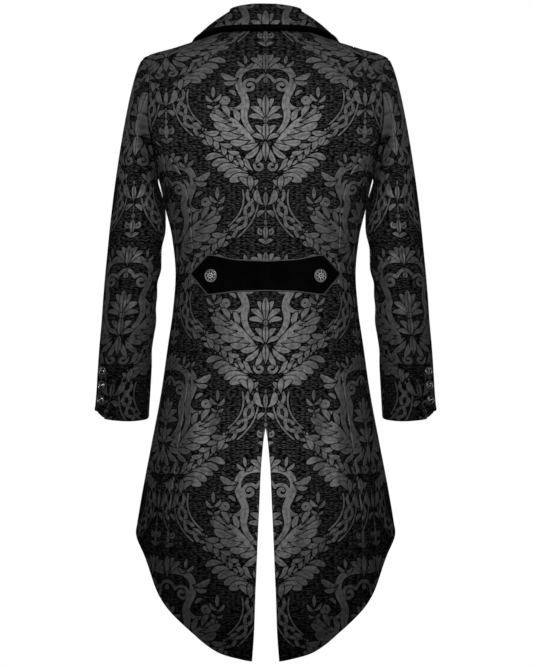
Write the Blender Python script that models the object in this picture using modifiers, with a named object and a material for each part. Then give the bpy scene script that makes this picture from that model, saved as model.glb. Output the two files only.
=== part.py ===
"""Tailcoat: a waisted coat with a flared, open-vented back skirt, built as cut and sewn cloth walls.

Millimetres in the tables, metres in the model. The wearer faces -Y, the left side is +X, up is +Z.
The origin is at shoulder height on the centre line, where the wearer holds the coat up.
"""

import bpy
import numpy as np
from mathutils import Matrix

# Sizes of the cloth
MM = 0.001
CLOTH = 2.0
SEAM_GAP = 0.3
ARMHOLE_GAP = 0.6
CAP_SEAM_GAP = 0.8
LAY_GAP = 0.6
BELT_GAP = 1.0
PIPING_GAP = 1.2
COLLAR_CLEAR = 3.0

# Heights that the cut turns on
NECK_HEIGHT = 2.0
SHOULDER_END = -48.0
SIDE_BACK_TOP = -190.0
WAIST = -434.0
VENT_TOP = -706.0
HEM_END = -1107.0

# Rings of the body: height, half width, back line, front line, widest line, squareness
RING_COLUMNS = ("height", "half_width", "back", "front", "side", "square")
RINGS = (
    (12, 66, 52, -36, 0, 2.2),
    (2, 75, 55, -42, 0, 2.2),
    (-7, 100, 60, -50, 0, 2.2),
    (-20, 139, 65, -58, 0, 2.2),
    (-31, 174, 69, -66, 0, 2.2),
    (-41, 209, 73, -74, 0, 2.25),
    (-48, 221, 76, -80, 0, 2.3),
    (-70, 225, 84, -94, 0, 2.5),
    (-100, 229, 94, -108, 0, 2.8),
    (-137, 230, 101, -119, -2, 3.0),
    (-170, 224, 105, -125, -5, 3.1),
    (-203, 212, 107, -128, -8, 3.1),
    (-246, 198, 106, -130, -12, 2.95),
    (-262, 193, 105, -130, -13, 2.9),
    (-311, 182, 99, -128, -15, 2.7),
    (-369, 168.5, 91, -122, -15, 2.6),
    (-434, 162.4, 86, -117, -13, 2.5),
    (-499, 167, 90, -120, -11, 2.5),
    (-563, 176, 99, -126, -8, 2.5),
    (-650, 188, 111, -133, -6, 2.5),
    (-736, 203, 121, -138, -4, 2.5),
    (-823, 218.5, 130, -143, -2, 2.4),
    (-902, 231, 138, -148, 0, 2.4),
    (-1000, 246, 146, -155, 0, 2.3),
    (-1140, 266, 156, -165, 0, 2.3),
)

# Hem: turn round the body from the centre back to past the centre front, height
HEM = (
    (0, -1107),
    (5, -1105.5),
    (11, -1100),
    (17, -1093),
    (23, -1080),
    (31, -1054),
    (38, -1028),
    (44.5, -1002),
    (51, -976),
    (58, -950),
    (66, -924),
    (75, -904),
    (90, -884),
    (105, -858),
    (120, -812),
    (135, -745),
    (150, -665),
    (163, -590),
    (173, -530),
    (180, -496),
    (190, -474),
)

# Seam between back and side back: height, half width
SIDE_BACK_SEAM = (
    (-190, 203.75),
    (-203, 190.5),
    (-225, 171),
    (-262, 149),
    (-316, 134),
    (-394, 129.6),
    (-434, 128.8),
    (-514, 121.5),
    (-538, 120.5),
    (-592, 129),
    (-676, 143.4),
    (-752, 154.5),
    (-805, 161),
    (-872, 168),
    (-980, 178),
    (-1107, 188),
)

# Vent: height, half of its opening
VENT = (
    (-706, 0.15),
    (-723, 3.1),
    (-750, 5.9),
    (-778, 8.2),
    (-833, 10.6),
    (-888, 13.2),
    (-943, 15.4),
    (-997, 17.7),
    (-1052, 19.4),
    (-1107, 23.2),
)

# Soft folds of the body: turn, width in degrees, depth, height where it starts, height where it is full
BODY_FOLDS = (
    (12, 8, 3.0, -760, -1060),
    (27, 9, -4.0, -640, -1000),
    (43, 9, 4.5, -560, -960),
    (60, 10, -4.5, -540, -930),
    (77, 10, 3.5, -600, -900),
    (98, 12, 3.0, -560, -840),
    (122, 12, -4.0, -520, -760),
    (146, 11, 3.0, -500, -660),
    (36, 7, -2.0, -300, -230),
    (52, 7, 2.0, -330, -250),
    (140, 9, -3.0, -300, -210),
)

# Armhole: an egg-shaped loop on the body
ARMHOLE_MIDDLE = -155.0
ARMHOLE_RISE = 107.0
ARMHOLE_REACH = 72.0
ARMHOLE_CENTRE = (225.0, 0.0, -155.0)

# Sleeve cap: the way it leaves the armhole, and how far it keeps its first and last direction,
# each as a constant, a share that follows the cosine and a share that follows twice the angle
CAP_WAY = (0.77, 0.42, -0.57)
CAP_LEAVE = (19.5, 6.0, -5.5)
CAP_ARRIVE = (70.0, 50.0, 10.0)

# Sleeve rings: height, inner side, outer side, middle line, half depth
SLEEVE_COLUMNS = ("height", "inner", "outer", "middle", "half_depth")
SLEEVE_RINGS = (
    (-330, 178.0, 275.0, 33, 64),
    (-350, 178.0, 277.3, 33, 63),
    (-391, 184.0, 281.5, 31, 61),
    (-434, 188.8, 286.0, 28, 59),
    (-477, 193.5, 290.0, 24, 57),
    (-520, 197.5, 293.5, 18, 55),
    (-563, 202.0, 298.0, 11, 53),
    (-607, 205.0, 301.8, 3, 51),
    (-650, 208.0, 305.2, -6, 49),
    (-700, 211.5, 311.0, -15, 47),
)
SLEEVE_SQUARE = 2.15
BICEPS = -330.0
CUFF_LEVEL = -700.0

# Soft folds of the sleeve: height, slope, width, depth, turn of its middle, width round the arm
SLEEVE_FOLDS = (
    (-392, 0.16, 15, -2.4, 150, 55),
    (-424, -0.12, 14, 1.8, 165, 60),
    (-452, 0.20, 16, -2.6, 185, 55),
    (-486, -0.15, 15, -1.8, 150, 50),
    (-522, 0.10, 17, 1.6, 175, 60),
    (-570, 0.12, 18, -1.6, 200, 50),
)

# Back seam of the sleeve: height, turn round the arm
SLEEVE_BACK_SEAM = (
    (-48, 66),
    (-155, 74),
    (-330, 84),
    (-480, 80),
    (-596, 75),
    (-661, 66),
    (-700, 52),
)
SLEEVE_FRONT_SEAM = -112.0

# Cuff vent: height, half of its opening
CUFF_VENT = ((-590, 0.15), (-610, 0.9), (-660, 1.4), (-700, 1.8))

# Cuff edge: turn round the arm, height
CUFF_TOP_SLEEVE = ((-112, -690), (-60, -686), (0, -680), (22, -678), (38, -684), (56, -692))
CUFF_UNDER_SLEEVE = ((46, -692), (75, -696), (110, -698), (150, -696), (190, -692), (248, -690))

# Collar: turn round the neck, then the seam, fold and outer edge as x, y, z
COLLAR_COLUMNS = (
    "turn", "seam_x", "seam_y", "seam_z", "fold_x", "fold_y", "fold_z", "edge_x", "edge_y", "edge_z",
)
COLLAR = (
    (0, 0, 52.0, 2.6, 0, 51, 44, 0, 74, -4),
    (15, 19, 51.0, 2.6, 17, 50, 44, 23, 73, -4),
    (30, 37, 47.0, 2.6, 34, 44, 43.5, 47, 68, -3),
    (45, 52, 38.0, 2.6, 47, 35, 43, 71, 58, -2),
    (60, 63, 27.0, 2.6, 56, 24, 42.5, 94, 44, -3),
    (75, 70, 14.0, 2.8, 61, 12, 42, 115, 25, -7),
    (90, 72.4, 0.0, 3.2, 62, 0, 41, 131, 0, -13.5),
    (102, 71, -12.0, 2.5, 62, -13, 34, 135, -20, -24),
    (114, 68, -25.0, 0.0, 61, -29, 21, 133, -42, -38),
    (124, 63, -38.0, -4.0, 60, -44, 5, 128, -60, -52),
    (132, 58.5, -46.0, -9.5, 58.5, -54, -8, 122, -76, -66),
)

# Velvet band of the collar: turn round the neck, width
COLLAR_BAND_WIDTH = ((0, 9.0), (60, 8.0), (90, 11.0), (132, 15.0))
COLLAR_END = 132.0
FOLD_RADIUS = 3.4
FALL_BELLY = 3.0
STAND_HEIGHT = 30.0

# Lapel: height and half width where the roll line starts and ends, and along the outer edge
ROLL_TOP = (-14.0, 57.0)
ROLL_END = (-325.0, -14.0)
LAPEL_END = -304.0
LAPEL_UNDER = 4.0
LAPEL_TIP = (-104.0, 131.0)
LAPEL_EDGE = ((-104, 131), (-150, 119), (-200, 97), (-250, 66), (-290, 34), (-325, 0))
LAPEL_BAND_WIDTH = 13.0
LAPEL_LIFT = 3.8
LAPEL_RISE = 2.4
LAPEL_RISE_FROM = -130.0
LAPEL_RISE_FULL = -58.0
LAP_DEPTH = 3.0
LAP_START = 166.0
LAP_FULL = 175.0

# Half belt: distance from the centre, height of the top edge, height of the bottom edge
BELT_EDGES = ((0, -415.2, -464.0), (50, -412.6, -465.5), (101, -404.2, -470.6), (129, -434.0, -437.0))
BELT_INNER = 84.0
BELT_CORNER = 101.0
BELT_TIP = 129.0
BELT_THICK = 2.2
PIPING_RADIUS = 1.1

# Buttons: radius and height shares of the turned outline
BUTTON_OUTLINE = (
    (0.0, 1.0),
    (0.42, 0.93),
    (0.74, 0.62),
    (0.86, 0.64),
    (1.0, 0.42),
    (0.97, 0.16),
    (0.86, 0.0),
    (0.0, 0.0),
)
BELT_BUTTON = (11.5, 6.5)
CUFF_BUTTON = (7.5, 4.6)
FRONT_BUTTON = (10.5, 6.0)
BELT_BUTTON_AT = (93.2, -439.2)
CUFF_BUTTONS_AT = ((288.0, -607.0), (290.0, -632.5), (292.5, -659.0))
FRONT_BUTTONS_AT = (-352.0, -398.0, -444.0)

# Rows and columns of the panels
BACK_COLUMNS = np.linspace(0, 1, 8)
SIDE_COLUMNS = np.linspace(0, 1, 6)
FRONT_COLUMNS = np.linspace(0, 1, 12)
CAP_ROWS = (0, 0.03, 0.09, 0.18, 0.3, 0.44, 0.6, 0.8)
BODY_ROWS = (
    2, -7, -20, -32, -42, -48, -62, -80, -106, -135, -163, -190, -215, -240, -262, -292, -325, -362,
    -398, -434, -475, -520, -570, -625, -680, -706, -750, -800, -860, -925, -990, -1050, -1107,
)
SIDE_ROWS = BODY_ROWS[BODY_ROWS.index(-190):]
FRONT_ROWS = (
    2, -7, -20, -32, -42, -48, -62, -80, -106, -135, -163, -190, -215, -240, -262, -292, -325, -362,
    -398, -434, -475, -520, -570, -625, -690, -760, -840, -920, -1000, -1060, -1107,
)


def smooth_line(pairs):
    """A smooth line through pairs of place and value that never overshoots them."""
    ordered = sorted((float(place), float(value)) for place, value in pairs)
    place = np.array([pair[0] for pair in ordered])
    value = np.array([pair[1] for pair in ordered])
    step = np.diff(place)
    slope = np.diff(value) / step
    turn = np.zeros(len(place))
    for i in range(1, len(place) - 1):
        if slope[i - 1] * slope[i] > 0:
            near = 2 * step[i] + step[i - 1]
            far = step[i] + 2 * step[i - 1]
            turn[i] = (near + far) / (near / slope[i - 1] + far / slope[i])
    turn[0] = slope[0]
    turn[-1] = slope[-1]

    def line(at):
        at = np.clip(np.asarray(at, float), place[0], place[-1])
        i = np.clip(np.searchsorted(place, at) - 1, 0, len(step) - 1)
        t = (at - place[i]) / step[i]
        rise = value[i + 1] - value[i]
        bend = t * (1 - t) * step[i]
        return value[i] + rise * t * t * (3 - 2 * t) + bend * ((1 - t) * turn[i] - t * turn[i + 1])

    return line


def table_lines(rows, columns):
    """Smooth lines of each column of a table by its first column."""
    return {name: smooth_line([(row[0], row[k]) for row in rows]) for k, name in enumerate(columns) if k}


RING = table_lines(RINGS, RING_COLUMNS)
ARM = table_lines(SLEEVE_RINGS, SLEEVE_COLUMNS)
NECK = table_lines(COLLAR, COLLAR_COLUMNS)
HEM_LINE = smooth_line(HEM)
SEAM_LINE = smooth_line(SIDE_BACK_SEAM)
VENT_LINE = smooth_line(VENT)
BACK_SEAM_LINE = smooth_line(SLEEVE_BACK_SEAM)
CUFF_VENT_LINE = smooth_line(CUFF_VENT)
LAPEL_LINE = smooth_line(LAPEL_EDGE)
BAND_LINE = smooth_line(COLLAR_BAND_WIDTH)


def ease(value):
    """A soft step from 0 to 1."""
    value = np.clip(value, 0, 1)
    return value * value * (3 - 2 * value)


def unit(vector):
    return vector / np.maximum(np.linalg.norm(vector, axis=-1, keepdims=True), 1e-12)


def body_folds(turn, height):
    """How far the soft folds move the body's face."""
    out = np.zeros(np.broadcast(turn, height).shape)
    for middle, width, depth, start, full in BODY_FOLDS:
        across = np.exp(-(((np.abs(turn) - middle) / width) ** 2))
        out = out + depth * across * ease((start - height) / (start - full))
    return out


def body(turn, height, lift=0.0):
    """A point on the body's outer face. The turn is 0 at the centre back and 180 at the centre front."""
    turn = np.asarray(turn, float)
    height = np.asarray(height, float)
    sine = np.sin(np.radians(turn))
    cosine = np.cos(np.radians(turn))
    square = RING["square"](height)
    side = RING["side"](height)
    depth = np.where(cosine > 0, RING["back"](height) - side, side - RING["front"](height))
    shrink = (np.abs(sine) ** square + np.abs(cosine) ** square) ** (-1 / square)
    x = RING["half_width"](height) * sine * shrink
    y = depth * cosine * shrink
    reach = np.maximum(np.hypot(x, y), 1.0)
    out = 1 + (body_folds(turn, height) + lift) / reach
    return np.stack(np.broadcast_arrays(x * out, side + y * out, height + 0 * x), axis=-1)


def facing(surface, first, second, first_step, second_step):
    """The outward direction of a surface whose first value runs round and whose second runs up."""
    across = surface(first + first_step, second) - surface(first - first_step, second)
    up = surface(first, second + second_step) - surface(first, second - second_step)
    return unit(np.cross(up, across))


def body_facing(turn, height, lift=0.0):
    return facing(lambda u, v: body(u, v, lift), turn, height, 0.5, 1.0)


def turn_at(x, height, front=False):
    """The turn whose point at this height has this half width."""
    square = RING["square"](height)
    share = np.clip(np.abs(x) / RING["half_width"](height), 0, 0.99999) ** square
    turn = np.degrees(np.arctan((share / (1 - share)) ** (1 / square)))
    if front:
        return 180 - np.sign(x) * turn
    return np.sign(x) * turn


def armhole(turn):
    """The armhole's loop by a turn round it, 0 at the top and 90 behind: body turn, height."""
    turn = np.radians(turn)
    height = ARMHOLE_MIDDLE + ARMHOLE_RISE * np.cos(turn)
    side = RING["side"](height)
    low = RING["side"](ARMHOLE_MIDDLE - ARMHOLE_RISE)
    y = low * (1 - np.cos(turn)) / 2 + ARMHOLE_REACH * np.sin(turn) - side
    depth = np.where(y > 0, RING["back"](height) - side, side - RING["front"](height))
    square = RING["square"](height)
    share = np.clip(np.abs(y) / depth, 0, 0.99999) ** square
    across = np.degrees(np.arctan((share / (1 - share)) ** (1 / square)))
    return 90 - np.sign(y) * across, height


def armhole_at(height, behind):
    """The body turn of the armhole's edge at a height, on its back or front side."""
    cosine = np.clip((height - ARMHOLE_MIDDLE) / ARMHOLE_RISE, -1, 1)
    turn = np.degrees(np.arccos(cosine))
    return armhole(turn if behind else -turn)[0]


def gap_turn(turn, height, gap):
    """The turn that a gap takes up at a place on the body."""
    step = 0.25
    near = body(turn + step, height) - body(turn - step, height)
    return gap * 2 * step / np.maximum(np.linalg.norm(near, axis=-1), 1e-9)


def slanting_gap(height):
    """Half of the seam's gap, measured across where the side-back seam slants."""
    slope = (SEAM_LINE(height + 2) - SEAM_LINE(height - 2)) / 4
    return SEAM_GAP / 2 * np.hypot(1.2, slope * 1.2)


def back_edge(height):
    """Outer edge of the back: shoulder seam, armhole, then the side-back seam."""
    edge = np.where(height < SIDE_BACK_TOP, turn_at(SEAM_LINE(height), height), armhole_at(height, True))
    edge = np.where(height >= SHOULDER_END, 90.0, edge)
    return edge - gap_turn(edge, height, np.where(height > SIDE_BACK_TOP, SEAM_GAP / 2, slanting_gap(height)))


def back_middle(height):
    """Centre-back edge, which opens along the vent."""
    return turn_at(np.where(height > VENT_TOP, SEAM_GAP / 2, VENT_LINE(height)), height)


def front_left_edge(height):
    """Edge of the front at the shoulder, armhole and side seam."""
    edge = np.where(height > ARMHOLE_MIDDLE - ARMHOLE_RISE, armhole_at(height, False), 90.0)
    edge = np.where(height >= SHOULDER_END, 90.0, edge)
    return edge + gap_turn(edge, height, SEAM_GAP / 2)


def roll_x(height):
    """Half width of the roll line, which runs straight from the neck to the front edge."""
    share = np.clip((ROLL_TOP[0] - height) / (ROLL_TOP[0] - ROLL_END[0]), 0, 1)
    return ROLL_TOP[1] + share * (ROLL_END[1] - ROLL_TOP[1])


def front_right_edge(height):
    return turn_at(roll_x(height), height, True)


def gorge(share):
    """Height of the front's top edge, from the shoulder to the roll line."""
    return NECK_HEIGHT + (ROLL_TOP[0] - NECK_HEIGHT) * share**1.6


def drop_rows(rows, top, low_level, bottom, columns):
    """Heights of a panel's rows: the top part fits the top edge and the low part fits the hem."""
    rows = np.array(rows, float)[:, None] * np.ones((1, columns))
    start = rows[0]
    upper = low_level + (rows - low_level) * (top - low_level) / (start - low_level)
    lower = WAIST + (rows - WAIST) * (bottom - WAIST) / (HEM_END - WAIST)
    middle = np.where(rows < WAIST, lower, rows)
    return np.where(rows > low_level, upper, middle)


def fit_panel(rows, shares, near_edge, far_edge, top, low_level):
    """Turns and heights of a panel between two edges, down to the hem."""
    bottom = HEM_LINE(np.linspace(0, 90, len(shares)))
    for _ in range(40):
        heights = drop_rows(rows, top, low_level, bottom, len(shares))
        near = near_edge(heights)
        turns = near + (far_edge(heights) - near) * shares
        bottom = bottom + 0.6 * (HEM_LINE(turns[-1]) - bottom)
    return turns, heights


def side_back_top(shares):
    """Height where each column of the side back meets the armhole."""
    low = np.full(len(shares), ARMHOLE_MIDDLE - ARMHOLE_RISE)
    high = np.full(len(shares), SIDE_BACK_TOP)
    for _ in range(40):
        middle = (low + high) / 2
        near = turn_at(SEAM_LINE(middle), middle)
        column = near + (90 - near) * shares
        outside = column > armhole_at(middle, True)
        high = np.where(outside, middle, high)
        low = np.where(outside, low, middle)
    return low - SEAM_GAP / 2


def side_back_near(height):
    edge = turn_at(SEAM_LINE(height), height)
    return edge + gap_turn(edge, height, slanting_gap(height))


def side_back_far(height):
    return 90 - gap_turn(90.0, height, SEAM_GAP / 2)


def tube(turn, height):
    """A point of the sleeve below the biceps."""
    inner = ARM["inner"](height)
    outer = ARM["outer"](height)
    sine = np.sin(np.radians(turn))
    cosine = np.cos(np.radians(turn))
    shrink = (np.abs(sine) ** SLEEVE_SQUARE + np.abs(cosine) ** SLEEVE_SQUARE) ** (-1 / SLEEVE_SQUARE)
    folds = 0.0
    for level, slope, width, depth, middle, spread in SLEEVE_FOLDS:
        away = (np.asarray(turn) - middle + 180) % 360 - 180
        across = (height - level - slope * away) / width
        folds = folds + depth * np.exp(-(across**2) - (away / spread) ** 2)
    x = (inner + outer) / 2 + ((outer - inner) / 2 + folds) * cosine * shrink
    y = ARM["middle"](height) + (ARM["half_depth"](height) + folds) * sine * shrink
    return np.stack(np.broadcast_arrays(x, y, height + 0 * x), axis=-1)


def cap_start(turn):
    """Where the sleeve leaves the armhole, and the way it goes."""
    at = body(*armhole(turn))
    along = unit(body(*armhole(turn + 0.5)) - body(*armhole(turn - 0.5)))
    flat = unit(body_facing(*armhole(turn)))
    into = unit(np.cross(flat, along))
    middle = np.array(ARMHOLE_CENTRE)
    into = into * np.sign(np.sum(into * (middle - at), axis=-1, keepdims=True))
    sine = np.sin(np.radians(turn))
    side, back, down = CAP_WAY
    way = unit(np.stack(np.broadcast_arrays(side + 0 * sine, back * sine, down + 0 * sine), axis=-1))
    wall = unit(np.cross(way, along))
    wall = wall * np.sign(np.sum(wall * (at - middle), axis=-1, keepdims=True))
    lean = np.maximum(0, CLOTH * np.sum(wall * into, axis=-1, keepdims=True))
    return at + into * (ARMHOLE_GAP + lean), way


def sleeve(turn, along):
    """A point on the sleeve's outer face: 0 at the armhole, 1 at the biceps, 2 at the cuff level."""
    turn = np.asarray(turn, float)
    along = np.asarray(along, float)
    turn, along = np.broadcast_arrays(turn, along)
    cosine = np.cos(np.radians(turn))[..., None]
    twice = np.cos(np.radians(2 * turn))[..., None]
    start, way = cap_start(turn)
    end = tube(turn, BICEPS)
    down = tube(turn, BICEPS - 1.0) - end
    leave = CAP_LEAVE[0] + CAP_LEAVE[1] * cosine + CAP_LEAVE[2] * twice
    arrive = CAP_ARRIVE[0] + CAP_ARRIVE[1] * cosine + CAP_ARRIVE[2] * twice
    t = np.clip(along, 0, 1)[..., None]
    control = start + leave * way
    settle = end - arrive * down
    cap = (1 - t) ** 3 * start + 3 * t * (1 - t) ** 2 * control + 3 * t * t * (1 - t) * settle + t**3 * end
    lower = tube(turn, BICEPS + (along - 1) * (CUFF_LEVEL - BICEPS))
    return np.where(along[..., None] < 1, cap, lower)


def sleeve_facing(turn, along):
    across = sleeve(turn + 0.6, along) - sleeve(turn - 0.6, along)
    low = np.minimum(np.asarray(along) + 0.004, 2)
    high = np.maximum(np.asarray(along) - 0.004, 0)
    up = sleeve(turn, high) - sleeve(turn, low)
    return unit(np.cross(across, up))


def sleeve_gap(turn, along, gap):
    """The turn that a gap takes up at a place on the sleeve."""
    step = 0.25
    near = sleeve(turn + step, along) - sleeve(turn - step, along)
    return gap * 2 * step / np.maximum(np.linalg.norm(near, axis=-1), 1e-9)


def sleeve_height(along):
    """The level by which seams and vents of the sleeve are placed."""
    cap = SHOULDER_END + (BICEPS - SHOULDER_END) * along
    return np.where(along < 1, cap, BICEPS + (along - 1) * (CUFF_LEVEL - BICEPS))


def make_object(name, points, faces, material, smooth=True):
    mesh = bpy.data.meshes.new(name)
    mesh.from_pydata([tuple(float(v) * MM for v in point) for point in points], [], faces)
    mesh.update()
    mesh.materials.append(material)
    for polygon in mesh.polygons:
        polygon.use_smooth = smooth
    item = bpy.data.objects.new(name, mesh)
    COAT.objects.link(item)
    return item


def wall(name, outer, inner, material, mirrored=False):
    """A closed cloth wall between an outer and an inner grid, rows down and columns round."""
    rows, columns = outer.shape[:2]
    points = np.concatenate((outer.reshape(-1, 3), inner.reshape(-1, 3)))
    if mirrored:
        points = points * (-1, 1, 1)
    count = rows * columns
    faces = []
    for r in range(rows - 1):
        for c in range(columns - 1):
            a = r * columns + c
            b, e, d = a + 1, a + columns + 1, a + columns
            faces += [(a, b, e), (a, e, d)]
            faces += [(a + count, e + count, b + count), (a + count, d + count, e + count)]
    top = list(range(columns))
    right = [r * columns + columns - 1 for r in range(1, rows)]
    bottom = [(rows - 1) * columns + c for c in range(columns - 2, -1, -1)]
    left = [r * columns for r in range(rows - 2, 0, -1)]
    rim = top + right + bottom + left
    for u, v in zip(rim, rim[1:] + rim[:1]):
        faces += [(v, u, u + count), (v, u + count, v + count)]
    if mirrored:
        faces = [face[::-1] for face in faces]
    return make_object(name, points, faces, material)


def body_panel(name, turns, heights, material, mirrored=False, lift=0.0):
    """A cloth panel on the body's form."""
    outer = body(turns, heights, lift)
    out = body_facing(turns, heights, lift)
    return wall(name, outer, outer - CLOTH * out, material, mirrored)


def make_material(name, colour, rough, metal=0.0, sheen=0.0):
    material = bpy.data.materials.new(name)
    material.use_nodes = True
    shader = material.node_tree.nodes["Principled BSDF"]
    shader.inputs["Base Color"].default_value = (*colour, 1)
    shader.inputs["Roughness"].default_value = rough
    shader.inputs["Metallic"].default_value = metal
    shader.inputs["Sheen Weight"].default_value = sheen
    material.diffuse_color = (*colour, 1)
    return material


def brocade(name):
    return make_material(name + "_brocade", (0.035, 0.035, 0.037), 0.75, sheen=0.2)


def velvet(name):
    return make_material(name + "_velvet", (0.004, 0.004, 0.004), 0.9, sheen=0.4)


def silver(name):
    return make_material(name + "_silver", (0.42, 0.41, 0.39), 0.35, metal=1.0)


def both_sides(stem):
    return ((stem + "_left", False), (stem + "_right", True))


def build_body():
    """Backs, side backs and fronts."""
    neck = np.full(len(BACK_COLUMNS), NECK_HEIGHT)
    back = fit_panel(BODY_ROWS, BACK_COLUMNS, back_middle, back_edge, neck, SHOULDER_END)
    for name, mirrored in both_sides("back"):
        body_panel(name, *back, brocade(name), mirrored)
    top = side_back_top(SIDE_COLUMNS)
    side = fit_panel(SIDE_ROWS, SIDE_COLUMNS, side_back_near, side_back_far, top, WAIST)
    for name, mirrored in both_sides("side_back"):
        body_panel(name, *side, brocade(name), mirrored)
    neck = gorge(FRONT_COLUMNS)
    front = fit_panel(FRONT_ROWS, FRONT_COLUMNS, front_left_edge, front_right_edge, neck, SHOULDER_END)
    for name, mirrored in both_sides("front"):
        lift = 0.0 if mirrored else front_lap(front[0])
        body_panel(name, *front, brocade(name), mirrored, lift)


def front_lap(turns):
    """The left front steps over the right one."""
    return LAP_DEPTH * ease((turns - LAP_START) / (LAP_FULL - LAP_START))


def build_lapels():
    """Lapels folded back on the fronts, each with a velvet band along its edge."""
    for name, mirrored in both_sides("lapel"):
        share = (np.linspace(0, 1, 17) ** 1.25)[:, None]
        roll_z = ROLL_TOP[0] - 1.0 + share * (LAPEL_END - ROLL_TOP[0])
        roll = roll_x(roll_z)
        if mirrored:
            roll = np.maximum(roll, LAPEL_UNDER - roll)
        edge_z = LAPEL_TIP[0] + share * (LAPEL_END - 6 - LAPEL_TIP[0])
        edge = LAPEL_LINE(edge_z)
        width = np.hypot(edge - roll, edge_z - roll_z)
        band = np.minimum(LAPEL_BAND_WIDTH / width, 0.5)
        gap = SEAM_GAP / width
        for piece, near, far, columns, material in (
            (name, 0.03 + 0 * band, 1 - band - gap, 6, brocade),
            (name.replace("lapel", "lapel_band"), 1 - band, 1 + 0 * band, 3, velvet),
        ):
            across = near + (far - near) * np.linspace(0, 1, columns)[None, :]
            z = roll_z + (edge_z - roll_z) * across
            x = roll + (edge - roll) * across
            turns = turn_at(x, z, True)
            lift = LAPEL_LIFT + LAPEL_RISE * ease((z - LAPEL_RISE_FROM) / (LAPEL_RISE_FULL - LAPEL_RISE_FROM))
            lift = lift + (0.0 if mirrored else 1.0) * front_lap(turns)
            outer = body(turns, z, lift)
            out = body_facing(turns, z, lift)
            flipped = outer[:, ::-1], (outer - CLOTH * out)[:, ::-1]
            wall(piece, *flipped, material(piece), mirrored)


def collar_point(turn, name):
    side = np.sign(turn) + (turn == 0)
    away = np.abs(turn)
    x, y, z = (NECK[name + axis](away) for axis in ("_x", "_y", "_z"))
    return np.stack((x * side, y, z), axis=-1)


def collar_section(turn):
    """The collar's cut line at each turn: up the stand, over the fold and down the fall."""
    seam = collar_point(turn, "seam")
    fold = collar_point(turn, "fold")
    edge = collar_point(turn, "edge")
    out = unit((edge - fold) * (1, 1, 0))
    up = np.array((0.0, 0.0, 1.0))
    rise = np.clip((fold - seam)[:, 2:] / STAND_HEIGHT, 0.06, 1)
    radius = FOLD_RADIUS * (0.55 + 0.45 * rise)
    inside = fold - out * radius
    stand_top = inside - up * 5 * rise
    outside = fold + out * radius
    fall_top = outside - up * 4 * rise
    width = np.linalg.norm(edge - fall_top, axis=-1, keepdims=True)
    band = BAND_LINE(np.abs(turn))[:, None] / width
    belly = unit(np.cross(edge - fall_top, np.cross(up, edge - fall_top)))
    belly = belly * np.sign(belly[:, 2:])
    section = [seam, seam + (stand_top - seam) * 0.5, stand_top, inside - up * 1.6 * rise]
    section += [fold - out * radius * 0.5, fold + out * radius * 0.5, outside - up * 1.4 * rise, fall_top]
    fall = len(section)
    for share in (0.33, 0.66, 1.0):
        at = share * (1 - band - SEAM_GAP / width)
        section.append(fall_top + (edge - fall_top) * at + belly * FALL_BELLY * np.sin(np.pi * at))
    strip = []
    for share in (0.0, 0.5, 1.0):
        at = 1 - band + band * share
        strip.append(fall_top + (edge - fall_top) * at + belly * FALL_BELLY * np.sin(np.pi * at))
    section = np.array(section)
    section[fall:] = clear_of_body(section[fall:], COLLAR_CLEAR)
    return section, clear_of_body(np.array(strip), COLLAR_CLEAR)


def outside_body(points):
    """How far points lie outside the body's face, and the way out."""
    def level(at):
        square = RING["square"](at[..., 2])
        side = RING["side"](at[..., 2])
        behind = at[..., 1] > side
        depth = np.where(behind, RING["back"](at[..., 2]) - side, side - RING["front"](at[..., 2]))
        across = (np.abs(at[..., 0]) / RING["half_width"](at[..., 2])) ** square
        return (across + (np.abs(at[..., 1] - side) / depth) ** square) ** (1 / square) - 1

    step = np.eye(3) * 0.5
    rise = np.stack([level(points + step[k]) - level(points - step[k]) for k in range(3)], axis=-1)
    size = np.linalg.norm(rise, axis=-1)
    return level(points) / np.maximum(size, 1e-9), rise / np.maximum(size, 1e-9)[..., None]


def clear_of_body(points, gap):
    """Points below the neck line moved out until they are this far off the body."""
    for _ in range(12):
        away, out = outside_body(points)
        need = np.clip(gap - away, 0, 6) * (points[..., 2] < NECK_HEIGHT)
        points = points + out * need[..., None]
    return points


def grid_facing(grid):
    """Outward directions of a grid whose rows run down the outside and whose columns run round."""
    down = np.gradient(grid, axis=0)
    across = np.gradient(grid, axis=1)
    return unit(np.cross(across, down))


def build_collar():
    turns = np.linspace(-COLLAR_END, COLLAR_END, 33)
    section, strip = collar_section(turns)
    whole = np.concatenate((section, strip[1:]))
    out = grid_facing(whole)
    count = len(section)
    wall("collar", section, section - CLOTH * out[:count], brocade("collar"))
    wall("collar_band", strip, strip - CLOTH * out[count - 1 :], velvet("collar_band"))


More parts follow.
